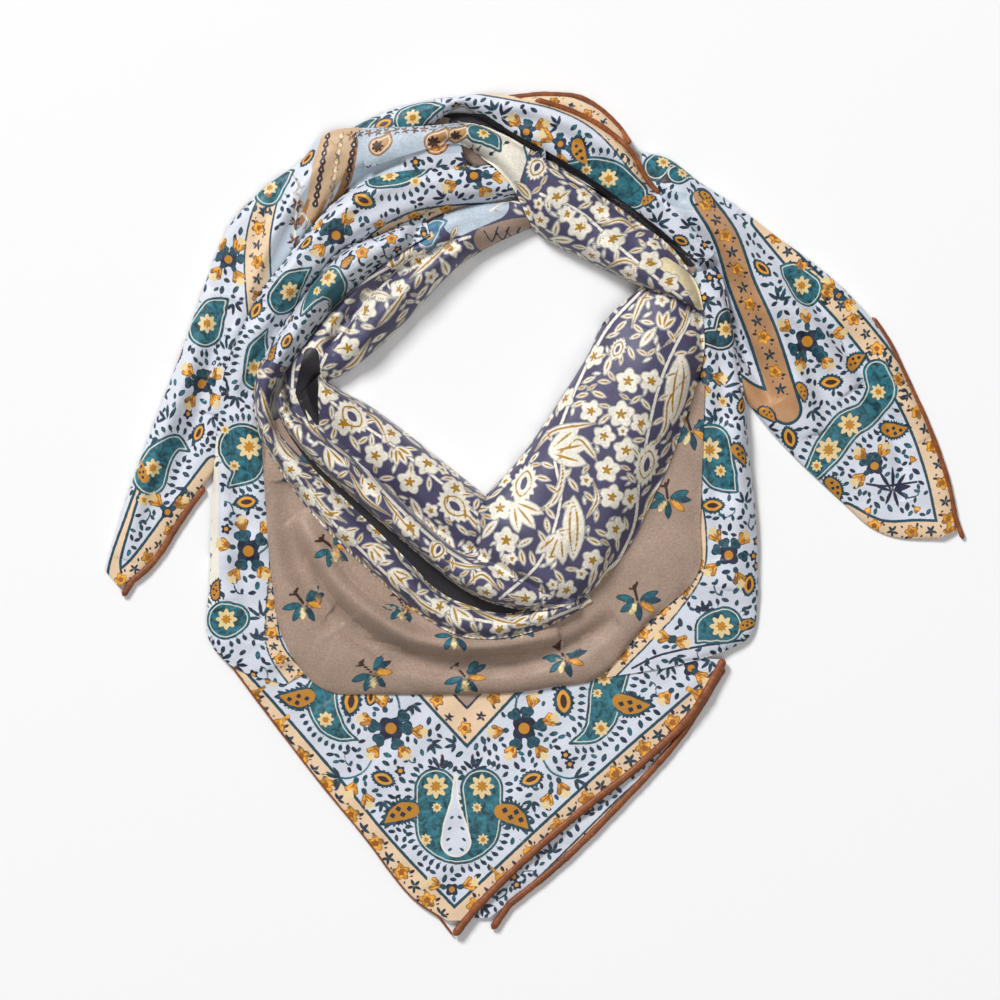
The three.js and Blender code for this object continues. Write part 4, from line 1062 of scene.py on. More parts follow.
def print_cowl_outer(cloth):
    """The outer roll: its upper end shows the border's side, the rest the batik side."""
    def turned_over(x, y):
        """How far a place is past the slanting line where the twist brings the border's side up."""
        return (x + 132) * 0.35 + (y - 76) * 0.94

    past = turned_over(*cloth["points"][:, :2].T)
    put(cloth, "area", np.arange(len(past)), -past, ICE)
    each(cloth, stroke, ([(-93, 126), (-80, 134), (-67, 138)], 9, PEACH, "area"),
         ([(-123, 104), (-129, 92), (-133, 79)], 1.1, NAVY))
    at_each(cloth, band_flower, (-86.5, 130, 20, 3.8), (-72, 137, 20, 3.4))
    paisley(cloth, [(-103, 115), (-110, 112), (-118, 100)], (9, 7.5, 1.2),
            ((-103.5, 117.5, 5), (-109, 111, 2.6)))
    eye(cloth, (-122, 90), (-126, 82))
    each_way(cloth, bean, (-96, 122, -92, 129), (-130, 76, -133, 85))
    florets(cloth, 40, (-114.5, 8.5, 6), (-98.5, 7, 6), (-95, -12, 6.2), (-79.5, -8.5, 6), (-131, 51, 5.4),
            (-122, 22, 5.2), (-18, -57, 5), (-48, -46, 5.2), (2, -52, 4.8))
    pod(cloth, (-132, 42), (-118, 24), 0.44)
    each_way(cloth, trumpet, (-83, -15, -74, -25), (-73, -27, -63, -38), (-42, -43, -31, -55),
             (-108, 2, -101, -7), (-13, -56, -3, -49))
    each(cloth, frond, ([(-137, 63), (-134, 52), (-128, 37)], 3.6),
         ([(-115, 18), (-105, 3), (-93, -5)], 3.4), ([(-66, -35), (-56, -45), (-45, -51)], 3.8),
         ([(-33, -47), (-18, -53), (-5, -55)], 3.4))
    vine(cloth, [(-137, 61), (-118, 17), (-88, -17), (-53, -45), (-8, -55), (22, -46)], 6)
    kept = cloth["distance"]["area"].copy()
    scatter_petals(cloth, keep=lambda x, y: turned_over(x, y) <= 0)
    cloth["distance"]["area"][past > 0] = FAR
    scatter_leaves(cloth, keep=lambda x, y: turned_over(x, y) > 0)
    cloth["distance"]["area"] = kept


def print_neck_left_inner(cloth):
    """The lining of the neck on the left, with a slip of the border at its upper end."""
    # painted shade: the first stroke is near-black in the deep hole between the loop's rolls at its upper
    # left
    each(cloth, stroke, ([(-112, 79), (-113, 61), (-110, 45)], (8, 14, 6), SHADE, "seed"),
         ([(-39, 146), (-21, 154)], 15, MIST, "area"),
         ([(-25, 137), (-12, 141), (-1, 142)], 12, BEIGE, "area"))
    florets(cloth, 30, (-85, 102, 6), (-101, 96, 6), (-93.5, 82.5, 6.2), (-68, 112, 5), (-112, 81, 5.4),
            (-109, 68, 5.4), (-58, 126, 5), (-118, 59, 5), (-42, 132, 4.6))
    each_way(cloth, spiky_pod, (-73, 121, -65, 135, 0.6), (-99, 107, -93, 116, 0.6))
    paisley(cloth, [(-54, 137), (-51, 143), (-45, 146)], (6, 5, 1), ((-53.5, 138.5, 3),), False, "#4f7fa0")
    each(cloth, vine, ([(-23, 151), (-15, 156), (-8, 155)], 3, 0.9, 3.4),
         ([(-112, 59), (-103, 82), (-83, 107), (-58, 130), (-33, 138)], 5.5),
         ([(-122, 57), (-118, 82), (-95, 109), (-68, 126)], 5.5))
    for k in range(4):
        stroke(cloth, [(-26 + 5.5 * k, 141), (-22 + 5.5 * k, 136 + k), (-19 + 5.5 * k, 143)], 0.8, NAVY)
    for curve in ([(-85, 107), (-79, 110), (-70, 107)], [(-103, 87), (-98, 92), (-92, 91)],
                  [(-80, 92), (-72, 101), (-63, 114)], [(-97, 72), (-90, 76), (-82, 88)],
                  [(-116, 71), (-109, 84), (-101, 89)], [(-63, 117), (-53, 126), (-42, 137)]):
        frond(cloth, curve, 4)
    scatter_petals(cloth)


def print_neck_cross(cloth):
    """The stretch that crosses over at the back of the neck and twists from one side to the other."""
    def past_cream(x, y):
        """How far a place is past the slanting line where the cream and blue ground ends."""
        return (x + 6) * 0.95 - (y - 172) * 0.3

    x, y = cloth["points"][:, :2].T
    pale = past_cream(x, y)
    put(cloth, "area", np.arange(len(x)), pale, CREAM)
    left_part = np.flatnonzero(x + 36 - (y - 188) * 0.1 < 0)
    put(cloth, "area", left_part, pale[left_part] - 5, MIST)
    for at, size in (((-79, 183), 6), ((-51, 185), 6.5), ((-40, 188), 5.5)):
        paisley(cloth, [at, (at[0] + 0.7 * size, at[1] + 0.4 * size), (at[0] + size, at[1] + 1.2 * size)],
                (0.8 * size, 0.6 * size, 0.4), (), False, "#b98a58")
        stamp(cloth, "detail", *at, 0, size, lambda a, b: petals(a, b, 0.55 * size, 7, 0.5), SEPIA)
    for k in range(14):
        at_each(cloth, clump, (-88 + 4.6 * k, 171.5 + 0.5 * k, 40 * k, 2.4, ("#b0763c", BROWN)[k % 2]),
                (-88 + 4.6 * k, 189.5 + 0.3 * k, 40 * k, 2.4, (BROWN, "#b0763c")[k % 2]))
    paisley(cloth, [(-29, 191), (-23, 188), (-18, 181)], (6.5, 6, 1.2), ((-26, 189.5, 3.4),))
    each(cloth, stroke, ([(-6, 183), (-4, 174), (-5, 165)], 1.3, TEAL),
         ([(64, 124), (74, 117), (82, 105)], 7, "#e9d9ae", "area"))
    spiky_pod(cloth, (-3, 166), (4, 179), 0.7)
    pod(cloth, (-12, 165), (-1, 157), 0.5)
    florets(cloth, 35, (10, 157.5, 5.8), (21.5, 142.5, 6), (38, 136.5, 6), (27.5, 128.5, 5.4),
            (56.5, 125, 5.8), (15, 149, 4.6), (32, 151, 5), (66, 115, 5.2), (46, 119, 5), (2, 146, 4.6),
            (73, 126, 4.6), (24, 159, 4.4))
    each(cloth, frond, ([(43, 139), (52, 144), (63, 140)], 4.6), ([(32, 143), (42, 146), (50, 141)], 3.4),
         ([(34, 122), (44, 126), (52, 122)], 3.6))
    for k in range(9):
        stamp(cloth, "detail", 66 + 1.9 * k, 122.5 - 2.5 * k, 0, 2, lambda a, b: np.hypot(a, b) - 0.6,
              CREAM)
    vine(cloth, [(2, 159), (22, 150), (42, 132), (72, 107)], 5.5)
    scatter_petals(cloth, keep=lambda x, y: past_cream(x, y) > 0)


# ---------------------------------------------------------------- meshes


def quads(rows, columns):
    """The corners of a grid's cells, one row of four for each cell."""
    k = np.arange(rows * columns).reshape(rows, columns)
    return np.stack([k[:-1, :-1], k[1:, :-1], k[1:, 1:], k[:-1, 1:]], axis=-1).reshape(-1, 4)


def build_mesh(name, points, faces, slot, material):
    """An object from points in millimetres and faces, which are arrays of equal rows or lists."""
    totals = np.concatenate([[len(face) for face in group] for group in faces]).astype(np.int32)
    loops = np.concatenate([np.ravel(face) for group in faces for face in group]).astype(np.int32)
    mesh = bpy.data.meshes.new(name)
    mesh.vertices.add(len(points))
    mesh.vertices.foreach_set("co", np.ravel(points * MM).astype(np.float32))
    mesh.loops.add(len(loops))
    mesh.loops.foreach_set("vertex_index", loops)
    mesh.polygons.add(len(totals))
    mesh.polygons.foreach_set("loop_start", np.concatenate([[0], np.cumsum(totals)[:-1]]).astype(np.int32))
    mesh.polygons.foreach_set("use_smooth", np.ones(len(totals), bool))
    mesh.update(calc_edges=True)
    mesh.validate()
    mesh.set_sharp_from_angle(angle=np.radians(100))
    piece = bpy.data.objects.new(name, mesh)
    bpy.context.scene.collection.objects.link(piece)
    mesh.materials.append(material)
    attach(piece, "root")
    return piece


def keep_on_points(mesh, name, kind, values):
    """Keeps a value, colour or vector for each point, for the material to read."""
    field = {"FLOAT": "value", "FLOAT_COLOR": "color", "FLOAT_VECTOR": "vector"}[kind]
    mesh.attributes.new(name, kind, "POINT").data.foreach_set(field, np.ravel(values).astype(np.float32))


def shell(cloth, slot, material):
    """The stretch as a thin closed shell: its grid on top, and beneath it a coarser one that is moved
    in along the normals and shares the rim, so that the shell thins to nothing at its edges."""
    rows, columns = cloth["shape"]
    top = quads(rows, columns)
    a, b, c = (cloth["points"][top[:, k]] for k in (0, 1, 3))
    flipped = np.cross(b - a, c - a)[:, 2].mean() < 0
    top = top[:, ::-1] if flipped else top
    row, column = np.arange(0, rows, UNDER_STEP), np.arange(0, columns, UNDER_STEP)
    index = row[:, None] * columns + column[None, :]
    inner = index[1:-1, 1:-1].ravel()
    under_points = cloth["points"][inner] - cloth["normals"][inner] * CLOTH
    lower = index.copy()
    lower[1:-1, 1:-1] = (rows * columns + np.arange(len(inner))).reshape(len(row) - 2, len(column) - 2)
    cells = quads(len(row), len(column))
    last_row, last_column = len(row) - 2, len(column) - 2
    cell_row, cell_column = np.divmod(np.arange(len(cells)), len(column) - 1)
    on_rim = (cell_row == 0) | (cell_row == last_row) | (cell_column == 0) | (cell_column == last_column)
    bottom = lower.ravel()[cells[~on_rim]]
    rim = []
    for i, j in zip(cell_row[on_rim], cell_column[on_rim]):
        loop = []
        sides = (((i, j), (i + 1, j), j == 0), ((i + 1, j), (i + 1, j + 1), i == last_row),
                 ((i + 1, j + 1), (i, j + 1), j == last_column), ((i, j + 1), (i, j), i == 0))
        for (i0, j0), (i1, j1), on_edge in sides:
            loop.append(lower[i0, j0])
            if on_edge:
                between = np.linspace(index[i0, j0], index[i1, j1], UNDER_STEP + 1)[1:-1]
                loop.extend(np.rint(between).astype(int))
        rim.append(loop if flipped else loop[::-1])
    bottom = bottom if flipped else bottom[:, ::-1]
    points = np.vstack([cloth["points"], under_points])
    piece = build_mesh(cloth["name"] + "_silk", points, (top, bottom, rim), slot, material)
    source = np.concatenate([np.arange(rows * columns), inner])
    for layer in LAYERS:
        keep_on_points(piece.data, layer + "_distance", "FLOAT", cloth["distance"][layer][source])
        keep_on_points(piece.data, layer + "_colour", "FLOAT_COLOR", cloth["colour"][layer][source])
    keep_on_points(piece.data, "ground_colour", "FLOAT_COLOR", cloth["ground"][source])
    keep_on_points(piece.data, "thread_place", "FLOAT_VECTOR", cloth["threads"][source] * MM)
    return piece


def cut_size(cloth):
    """Width and length of the cut that shows, in metres: mean section, and the area shared by it."""
    grid = cloth["points"].reshape(*cloth["shape"], 3)
    across = np.linalg.norm(np.diff(grid, axis=1), axis=2)
    width = across.sum(axis=1).mean()
    side = np.cross(grid[1:, :-1] - grid[:-1, :-1], grid[:-1, 1:] - grid[:-1, :-1])
    area = np.linalg.norm(side, axis=2).sum()
    return width * MM, area / width * MM


def rolled_hem(name, path, material, radius):
    """A cord of rolled silk: rings of points carried along a path in plan and height, each ring square to
    the path, its radius swelling and pinching a little, as a hand-rolled hem's does."""
    path = np.asarray(path, float)
    run = np.concatenate([[0], np.cumsum(np.linalg.norm(np.diff(path, axis=0), axis=1))])
    places = np.linspace(0, run[-1], max(8, round(run[-1] / RING_PITCH)))
    spine = np.stack([np.interp(places, run, path[:, k]) for k in range(3)], axis=1)
    heading = np.gradient(spine, axis=0)
    heading /= np.linalg.norm(heading, axis=1, keepdims=True)
    side = np.cross(heading, (0.0, 0.0, 1.0))
    side /= np.linalg.norm(side, axis=1, keepdims=True)
    up = np.cross(side, heading)
    turns = places * 2 * np.pi
    swell = radius * (1 + 0.03 * np.sin(turns / 6.1) + 0.05 * np.sin(turns / 17.3 + 1))
    swell[[0, -1]] = 0.15 * radius
    swell[[1, -2]] = 0.75 * swell[[1, -2]]
    angle = np.linspace(0, 2 * np.pi, RING_POINTS, endpoint=False)
    rings = (spine[:, None] + swell[:, None, None] * (np.cos(angle)[None, :, None] * side[:, None]
             + 0.85 * np.sin(angle)[None, :, None] * up[:, None]))
    k = np.arange(len(spine) * RING_POINTS).reshape(len(spine), RING_POINTS)
    nxt = np.roll(k, -1, axis=1)
    walls = np.stack([k[:-1], nxt[:-1], nxt[1:], k[1:]], axis=-1).reshape(-1, 4)
    caps = [k[0][::-1], k[-1]]
    points = rings.reshape(-1, 3)
    a, b, c = points[walls[0, 0]], points[walls[0, 1]], points[walls[0, 3]]
    outward = np.cross(b - a, c - a) @ (a - spine[0]) > 0
    if not outward:
        walls, caps = walls[:, ::-1], [cap[::-1] for cap in caps]
    piece = build_mesh(name + "_rolled", points, (walls, caps), "rolled_hem", material)
    along_roll = np.repeat(places, RING_POINTS)
    threads = np.stack([along_roll, np.tile(angle * radius, len(spine)), 0 * along_roll], axis=1)
    keep_on_points(piece.data, "thread_place", "FLOAT_VECTOR", threads * MM)
    return piece


# ---------------------------------------------------------------- finishes

WAVE_SCALE = 0.314  # over the distance between bands, in metres, it's the scale of a wave texture


def add(tree, kind, links=(), **settings):
    """Adds a node. settings are its own properties, or with in_ before a socket's name or number a
    plain value for that socket. links are (socket of this node, socket that feeds it)."""
    node = tree.nodes.new(kind)
    for key, value in settings.items():
        if key.startswith("in_"):
            socket = key[3:].replace("_", " ")
            node.inputs[int(socket) if socket.isdigit() else socket].default_value = value
        else:
            setattr(node, key, value)
    for socket, source in links:
        tree.links.new(node.inputs[socket], source)
    return node


def spread(low, high, to_low, to_high):
    """Plain values for a map-range node: low to high is spread over to_low to to_high."""
    return {"in_From_Min": low, "in_From_Max": high, "in_To_Min": to_low, "in_To_Max": to_high}


def empty_material(name):
    """A material without nodes, and its tree."""
    material = bpy.data.materials.new(name)
    material.use_nodes = True
    material.node_tree.nodes.clear()
    return material, material.node_tree


def printed_silk(name, mottle, pooling, speckle, roughness):
    """Silk twill with a printed design. Twill runs in fine diagonal ribs, drawn 1.4 mm apart where real
    ones are 0.4 mm, and gives a soft sheen that spreads. Dye takes unevenly, so the colours are mottled
    over 20 mm and speckled over a millimetre or so, dye pools within a motif, and each motif has a
    darker key line."""
    material, tree = empty_material(name)
    place = add(tree, "ShaderNodeTexCoord").outputs["Object"]
    noise = {}
    for what, size, detail, crisp, twist in (
            ("broad", 0.020, 3.0, 0.5, 0.0), ("fine", speckle, 4.0, 0.65, 0.0),
            ("wobble", 0.0022, 2.0, 0.5, 0.0), ("pool", 0.0035, 3.0, 0.5, 0.8),
            ("crumple", 0.009, 2.0, 0.5, 0.0)):
        noise[what] = add(tree, "ShaderNodeTexNoise", [("Vector", place)], in_Scale=1 / size,
                          in_Detail=detail, in_Roughness=crisp, in_Distortion=twist).outputs["Fac"]
    level = {}
    for what, source, low, high, to_low, to_high in (
            ("pool", "pool", 0.35, 0.65, 1 - 2.6 * pooling, 1 + 2.2 * pooling),
            ("shade", "broad", 0.3, 0.7, 1 - 0.5 * mottle, 1 + 0.3 * mottle),
            ("grain", "fine", 0.3, 0.7, 1 - mottle, 1 + 0.7 * mottle),
            ("uneven", "fine", 0.3, 0.7, roughness - 0.06, roughness + 0.08)):
        level[what] = add(tree, "ShaderNodeMapRange", [("Value", noise[source])],
                          **spread(low, high, to_low, to_high)).outputs["Result"]
    level["shade"] = add(tree, "ShaderNodeMath", [(0, level["shade"]), (1, level["grain"])],
                         operation="MULTIPLY").outputs[0]
    grey = {what: add(tree, "ShaderNodeCombineColor", [(k, level[what]) for k in range(3)]).outputs[0]
            for what in ("pool", "shade")}
    colour = add(tree, "ShaderNodeAttribute", attribute_name="ground_colour").outputs["Color"]
    for layer in LAYERS:
        distance = add(tree, "ShaderNodeAttribute", attribute_name=layer + "_distance").outputs["Fac"]
        held = add(tree, "ShaderNodeAttribute", attribute_name=layer + "_colour")
        # the printed edge wanders by about a quarter of a millimetre
        edge = add(tree, "ShaderNodeMath", [(0, noise["wobble"]), (2, distance)], operation="MULTIPLY_ADD",
                   in_1=-0.5).outputs[0]
        inside = add(tree, "ShaderNodeMapRange", [("Value", edge)], interpolation_type="SMOOTHSTEP",
                     **spread(-0.45, -0.1, 1.0, 0.0)).outputs["Result"]
        dye = held.outputs["Color"]
        if layer == "motif":
            dye = add(tree, "ShaderNodeMix", [(6, dye), (7, grey["pool"])], data_type="RGBA",
                      blend_type="MULTIPLY", in_0=1.0).outputs[2]
        colour = add(tree, "ShaderNodeMix", [("Factor", inside), (6, colour), (7, dye)],
                     data_type="RGBA").outputs[2]
        if layer == "motif":
            # the key line inside the edge, then a cream line 1.75 mm in where the motif is lined
            within = add(tree, "ShaderNodeMath", [(0, edge)], operation="ADD", in_1=1.75).outputs[0]
            within = add(tree, "ShaderNodeMath", [(0, within)], operation="ABSOLUTE").outputs[0]
            for value, limits, share, dyed in (
                    (edge, (-0.95, -0.65, 0.0, 0.55), inside, NAVY),
                    (within, (0.12, 0.4, 0.85, 0.0), held.outputs["Alpha"], CREAM)):
                line = add(tree, "ShaderNodeMapRange", [("Value", value)], interpolation_type="SMOOTHSTEP",
                           **spread(*limits)).outputs["Result"]
                line = add(tree, "ShaderNodeMath", [(0, line), (1, share)], operation="MULTIPLY").outputs[0]
                colour = add(tree, "ShaderNodeMix", [("Factor", line), (6, colour)], data_type="RGBA",
                             in_7=(*linear(dyed), 1)).outputs[2]
    colour = add(tree, "ShaderNodeMix", [(6, colour), (7, grey["shade"])], data_type="RGBA",
                 blend_type="MULTIPLY", in_0=1.0).outputs[2]
    threads = add(tree, "ShaderNodeAttribute", attribute_name="thread_place").outputs["Vector"]
    twill = add(tree, "ShaderNodeTexWave", [("Vector", threads)], bands_direction="DIAGONAL",
                in_Scale=WAVE_SCALE / 0.0014, in_Distortion=0.6, in_Detail=1.0).outputs["Fac"]
    bump = add(tree, "ShaderNodeBump", [("Height", noise["crumple"])], in_Strength=0.25, in_Distance=0.0012)
    bump = add(tree, "ShaderNodeBump", [("Height", twill), ("Normal", bump.outputs["Normal"])],
               in_Strength=0.25, in_Distance=0.00008)
    silk = add(tree, "ShaderNodeBsdfPrincipled",
               [("Base Color", colour), ("Roughness", level["uneven"]), ("Normal", bump.outputs["Normal"])],
               in_IOR=1.45, in_Sheen_Weight=0.18, in_Sheen_Roughness=0.4)
    add(tree, "ShaderNodeOutputMaterial", [("Surface", silk.outputs[0])])
    return material


def rolled_silk():
    """Dyed silk rolled over itself by hand: rust brown, with a fine slanting grain, a soft darker band
    every 3 mm that is painted shade for the pinch where a stitch pulls it in, and a sheen along the top of
    the roll."""
    material, tree = empty_material("rust_rolled_silk")
    place = add(tree, "ShaderNodeTexCoord").outputs["Object"]
    threads = add(tree, "ShaderNodeAttribute", attribute_name="thread_place").outputs["Vector"]
    uneven = add(tree, "ShaderNodeTexNoise", [("Vector", place)], in_Scale=1 / 0.006,
                 in_Detail=4.0).outputs["Fac"]
    colour = add(tree, "ShaderNodeValToRGB", [("Fac", uneven)])
    low, high = colour.color_ramp.elements
    low.position, low.color = 0.3, (*linear("#6e3716"), 1)
    high.position, high.color = 0.72, (*linear(RUST), 1)
    grain = add(tree, "ShaderNodeTexWave", [("Vector", threads)], bands_direction="DIAGONAL",
                in_Scale=WAVE_SCALE / 0.0013, in_Distortion=1.5).outputs["Fac"]
    # painted shade: a darker band every 3 mm for the pinch where a stitch pulls the roll in
    stitch_pinch_shade = add(tree, "ShaderNodeTexWave", [("Vector", threads)], bands_direction="X",
               in_Scale=WAVE_SCALE / 0.003, in_Distortion=0.8).outputs["Fac"]
    stitch_pinch_shade = add(tree, "ShaderNodeMapRange", [("Value", stitch_pinch_shade)], **spread(0.0, 0.15, 0.0, 1.0)).outputs["Result"]
    stitch_pinch_shade = add(tree, "ShaderNodeMix", [("Factor", stitch_pinch_shade), (7, colour.outputs["Color"])], data_type="RGBA",
               in_6=(*linear("#75401c"), 1)).outputs[2]
    bump = add(tree, "ShaderNodeBump", [("Height", grain)], in_Strength=0.3, in_Distance=0.0001)
    silk = add(tree, "ShaderNodeBsdfPrincipled",
               [("Base Color", stitch_pinch_shade), ("Normal", bump.outputs["Normal"])],
               in_Roughness=0.5, in_IOR=1.45, in_Sheen_Weight=0.15, in_Sheen_Roughness=0.4)
    add(tree, "ShaderNodeOutputMaterial", [("Surface", silk.outputs[0])])
    return material


def white_table():
    """Matt white painted board."""
    material = bpy.data.materials.new("matt_white_board")
    material.use_nodes = True
    board = material.node_tree.nodes["Principled BSDF"]
    board.inputs["Base Color"].default_value = (*linear("#f6f6f7"), 1)
    board.inputs["Roughness"].default_value = 0.9
    return material


# ---------------------------------------------------------------- table, light and camera

KEY_POWER = 550.0
FILL_POWER = 32.0
ROOM = 0.2
VIEW_CENTRE = (-0.018, 0.007)
VIEW_WIDTH = 0.5
CAMERA_HEIGHT = 2.6
SENSOR = 36.0
TABLE_SIDE = 3.0  # half the side of the table
TABLE_TOP = -0.0002


def soft_light(name, place, size, power):
    """A square soft box that faces the middle of the scarf."""
    lamp = bpy.data.lights.new(name, "AREA")
    lamp.shape, lamp.size, lamp.energy = "SQUARE", size, power
    light = bpy.data.objects.new(name, lamp)
    light.location = place
    backwards = Vector(place) - Vector((*VIEW_CENTRE, 0.0))
    light.rotation_euler = backwards.to_track_quat("Z", "Y").to_euler()
    bpy.context.scene.collection.objects.link(light)


def set_stage():
    """A white table, soft light from the upper left, and the camera straight above."""
    mesh = bpy.data.meshes.new("table_top")
    corners = [(x * TABLE_SIDE, y * TABLE_SIDE, TABLE_TOP) for x, y in ((-1, -1), (1, -1), (1, 1), (-1, 1))]
    mesh.from_pydata(corners, [], [(0, 1, 2, 3)])
    board = bpy.data.objects.new("table_top", mesh)
    mesh.materials.append(white_table())
    bpy.context.scene.collection.objects.link(board)
    soft_light("window_light", (-3.3, 4.7, 4.9), 2.0, KEY_POWER)
    soft_light("ceiling_light", (1.0, -0.9, 3.2), 2.4, FILL_POWER)
    world = bpy.data.worlds.new("room")
    world.use_nodes = True
    background = world.node_tree.nodes["Background"]
    background.inputs["Color"].default_value = (*linear("#fffdfa"), 1)
    background.inputs["Strength"].default_value = ROOM
    bpy.context.scene.world = world
    camera = bpy.data.objects.new("camera", bpy.data.cameras.new("camera"))
    camera.data.sensor_width = SENSOR
    camera.data.lens = SENSOR * CAMERA_HEIGHT / VIEW_WIDTH
    camera.data.clip_end = 20
    camera.location = (*VIEW_CENTRE, CAMERA_HEIGHT)
    bpy.context.scene.collection.objects.link(camera)
    bpy.context.scene.camera = camera


# ---------------------------------------------------------------- the scarf

# From the table up: name, what prints it, where its crown stands across it, how flat it is, its folds
# (height and half-width of each, and its line in plan), and how far its start and end thin out.
STRETCHES = (
    ("under_point", print_under_edges, 0.5, 8, (), (0, 0)),
    ("right_tail", print_right_tail, 0.5, 3.4, (
        (6, 6, [(62, 167), (98, 128), (125, 80), (140, 40)]),
        (-8.5, 5, [(84, 128), (99, 92), (118, 55)]),
        (6, 7, [(78, 160), (120, 112), (158, 62)]),
        (-3.5, 5, [(99.5, 149.5), (138, 107), (176, 47), (184.5, 7)]),
        (3, 6, [(132, 137), (167, 92), (194.5, 37)]),
    ), (0, 0)),
    ("top_under", print_under_edges, 0.4, 3, (), (0, 0)),
    ("neck_back", print_neck_back, 0.5, 3, ((2.5, 4, [(-8, 182), (22, 157), (62, 127)]),), (0, 0)),
    ("top_band", print_top_band, 0.45, 2.4, (
        (-3.5, 5, [(-33, 198), (2, 193), (37, 171), (59.5, 141)]),
        (2.5, 5, [(-18, 205.5), (19.5, 197), (52, 174.5)]),
    ), (10, 0)),
    ("left_tail", print_left_tail, 0.5, 3.4, (
        (4.5, 5, [(-100, 184), (-128, 146), (-148, 100), (-163, 50)]),
        (-7, 4.4, [(-66, 178), (-96, 160), (-125, 115)]),
        (3.4, 5, [(-160.5, 112), (-175.5, 67), (-193, 22), (-205.5, -23)]),
        (-3, 5, [(-152, 107), (-165.5, 57), (-183, 7)]),
        (-2.5, 4, [(-118, 177), (-137, 137), (-150, 92)]),
        (2.5, 7, [(-45.5, 189.5), (-68, 182), (-92, 171)]),
    ), (0, 0)),
    ("front_point", print_front_point, 0.5, 8, (
        (1.2, 14, [(-103, -93), (-73, -138), (-48, -183)]),
        (1.4, 16, [(32, -93), (2, -138), (-28, -178)]),
    ), (0, 0)),
    ("side_left", print_left_side, 0.45, 2.6, (
        (-9, 3.8, [(-18, 157), (-48, 149), (-83, 137), (-110, 114), (-132, 87), (-145, 57)]),
        (3.5, 5, [(-43, 168), (-78, 162), (-113, 137), (-137, 107)]),
        (-6, 3.2, [(-53, 173), (-83, 169), (-108, 157), (-133, 131)]),
        (-2, 6, [(-150, 47), (-148, 7), (-145.5, -33), (-137, -63)]),
        (1.5, 6, [(-157, 37), (-156, -3), (-155, -43)]),
    ), (0, 14)),
    ("side_right", print_right_side, 0.45, 2.8, (
        (-2.5, 5, [(88, 107), (93, 67), (90, 27), (93, -23)]),
        (2.5, 7, [(99.5, 47), (101, 7), (97, -38)]),
    ), (0, 14)),
    ("bib_field", print_field_sprigs, 0.5, 5, (
        (9, 6, [(-119, -1), (-96.5, -36), (-64, -60), (-28, -66), (12, -60)]),
        (-7, 5, [(-103, -49), (-73, -70), (-33, -75), (12, -69), (40, -52)]),
        (-5, 8, [(-125, 17), (-118, -23), (-98, -56)]),
        (1.5, 10, [(-103, -68), (-68, -81), (-8, -83), (32, -63)]),
    ), (0, 0)),
    ("neck_left_inner", print_neck_left_inner, 0.35, 2.4, (
        (-9, 3.2, [(-38, 137), (-82, 112), (-105, 80)]),
        (3, 4, [(-28, 142), (-68, 107), (-93, 77)]),
        (-6, 3, [(-48, 141), (-88, 126), (-116, 97)]),
    ), (0, 0)),
    ("cowl_outer", print_cowl_outer, 0.5, 2.2, (
        (-4, 3.5, [(-58, 132), (-93, 112), (-118, 82), (-128, 52)]),
    ), (15, 10)),
    ("cowl_inner", print_cowl_inner, 0.8, 1.5, (
        (2, 5, [(-108, 57), (-83, 32), (-53, 2), (-18, -23)]),
    ), (0, 0)),
    ("cowl_front", print_cowl_front, 0.42, 2.4, (
        (-9, 3.5, [(-125.5, 52), (-83, 27), (-48, -4.5), (-30.5, -19), (-8, -33), (7, -41.5)]),
        (2.5, 9, [(-68, 37), (-33, 4.5), (-8, -8), (17, -15.5)]),
        (2.5, 10, [(57, 92), (42, 47), (32, 7), (12, -23)]),
        (-2, 8, [(77, 67), (64.5, 22), (42, -18)]),
    ), (0, 0)),
    ("neck_cross", print_neck_cross, 0.45, 2.3, (
        (-3, 5, [(-18, 184.5), (12, 157), (42, 132), (72, 107)]),
        (2, 6, [(2, 182), (32, 157), (67, 129.5)]),
    ), (6, 40)),
)

# Which stretches show the batik side or the melange field, have little or no print, or are rolls.
FLORAL = ("neck_left_inner", "cowl_outer", "cowl_inner", "cowl_front", "neck_cross")
FIELD = ("neck_back", "bib_field")
PLAIN = ("under_point", "top_under", "neck_back", "bib_field")
ROLLS = ("side_left", "bib_field", "neck_left_inner", "cowl_outer", "cowl_inner", "cowl_front")

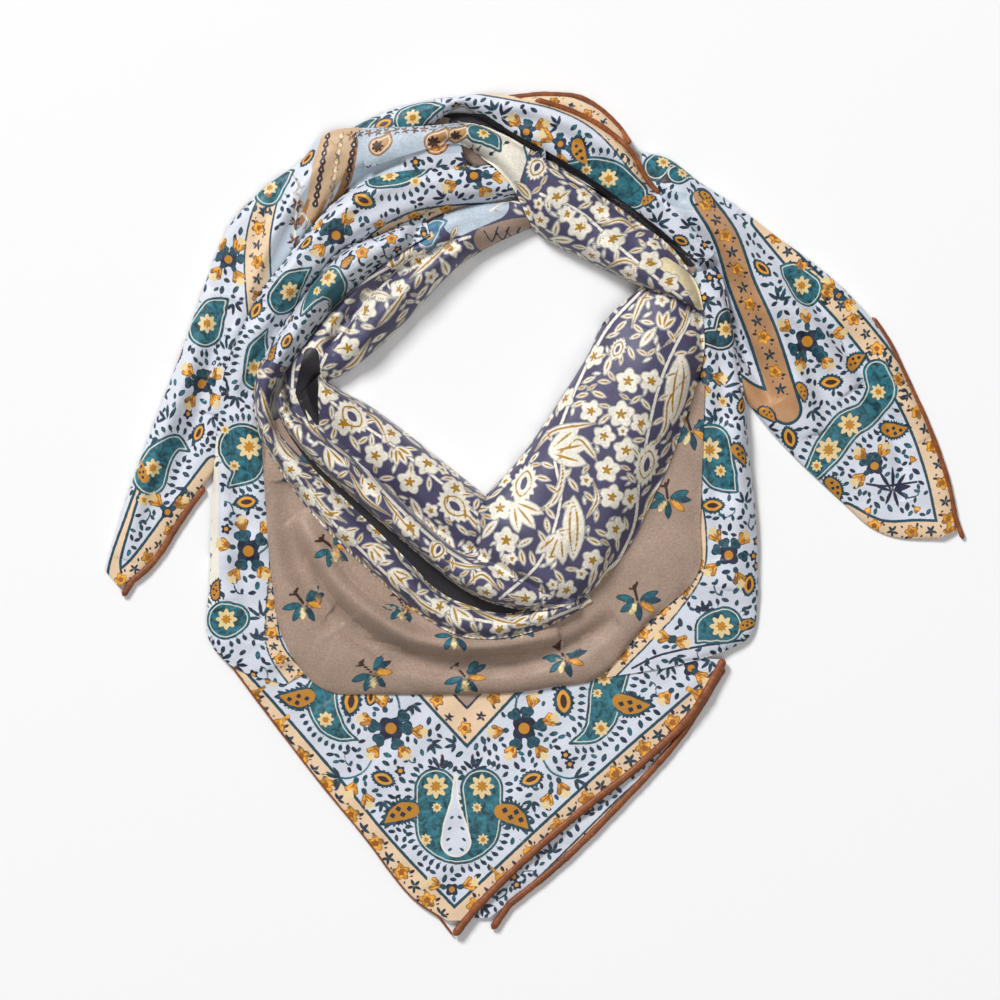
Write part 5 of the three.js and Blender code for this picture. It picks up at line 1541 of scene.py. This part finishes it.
# A rolled hem: the stretch it edges, which edge, the share of its length, the corner it ends in, its radius.
HEMS = (
    ("hem_under_point", "under_point", "inner", 0, 1, (-22, -207.5), 1.8),
    ("hem_right_tail", "right_tail", "outer", 0.62, 1, (213.5, -12.5), 1.3),
    ("hem_top_under", "top_under", "outer", 0, 1, None, 1.5),
    ("hem_top_band", "top_band", "outer", 0.48, 0.86, None, 1.4),
    ("hem_left_tail", "left_tail", "inner", 0.8, 1, (-206.5, -41), 1.7),
    ("hem_point_left", "front_point", "outer", 0, 1, (-41.5, -210.5), 0.6),
    ("hem_point_right", "front_point", "inner", 0, 1, (-41, -210.5), 2.0),
)


def hem_path(cloth, edge, start, end, tip, radius):
    """The edge of a stretch, moved out by half the roll, from share start to share end and on to tip."""
    rows, columns = cloth["shape"]
    grid = cloth["points"].reshape(rows, columns, 3)
    taken = slice(round(start * (rows - 1)), round(end * (rows - 1)) + 1, UNDER_STEP)
    column, inward = (0, 3) if edge == "outer" else (-1, -4)
    line = grid[taken, column].copy()
    toward = line[:, :2] - grid[taken, inward, :2]
    toward /= np.maximum(np.linalg.norm(toward, axis=1, keepdims=True), TINY)
    line[:, :2] += 0.5 * radius * toward
    if tip:
        line = line[:-2]
        line = np.vstack([line, [*tip, line[-1, 2]]])
    line[:, 2] = np.maximum(line[:, 2] + 0.15 * radius, 0.9 * radius)
    return line


def make_scarf():
    """Lays, prints and closes each stretch from the table up, and rolls the hems on its edges."""
    # slot, the dye of the ground, and the material
    border = ("silk_border", ICE, printed_silk("printed_border_twill", 0.07, 0.26, 0.0009, 0.5))
    field = ("silk_field", BEIGE, printed_silk("melange_field_twill", 0.24, 0.12, 0.001, 0.55))
    floral = ("silk_floral", PLUM, printed_silk("batik_floral_twill", 0.2, 0.03, 0.0011, 0.5))
    rust = rolled_silk()
    for name, print_motifs, peak, roundness, folds, ends in STRETCHES:
        slot, ground, material = floral if name in FLORAL else field if name in FIELD else border
        cloth = lay_stretch(name, peak, roundness, folds, ends)
        cloth["ground"] = np.tile([*linear(ground), 1.0], (len(cloth["points"]), 1))
        print_motifs(cloth)
        piece = shell(cloth, slot, material)
        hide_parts(name)
        for hem, on, edge, start, end, tip, radius in HEMS:
            if on == name:
                path = hem_path(cloth, edge, start, end, tip, radius)
                rolled_hem(hem, path, rust, radius)
                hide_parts(hem)
                table.record_tube(path, radius)
        cut_size(cloth)


make_scarf()
set_stage()
bpy.context.scene.view_settings.view_transform = "Standard"
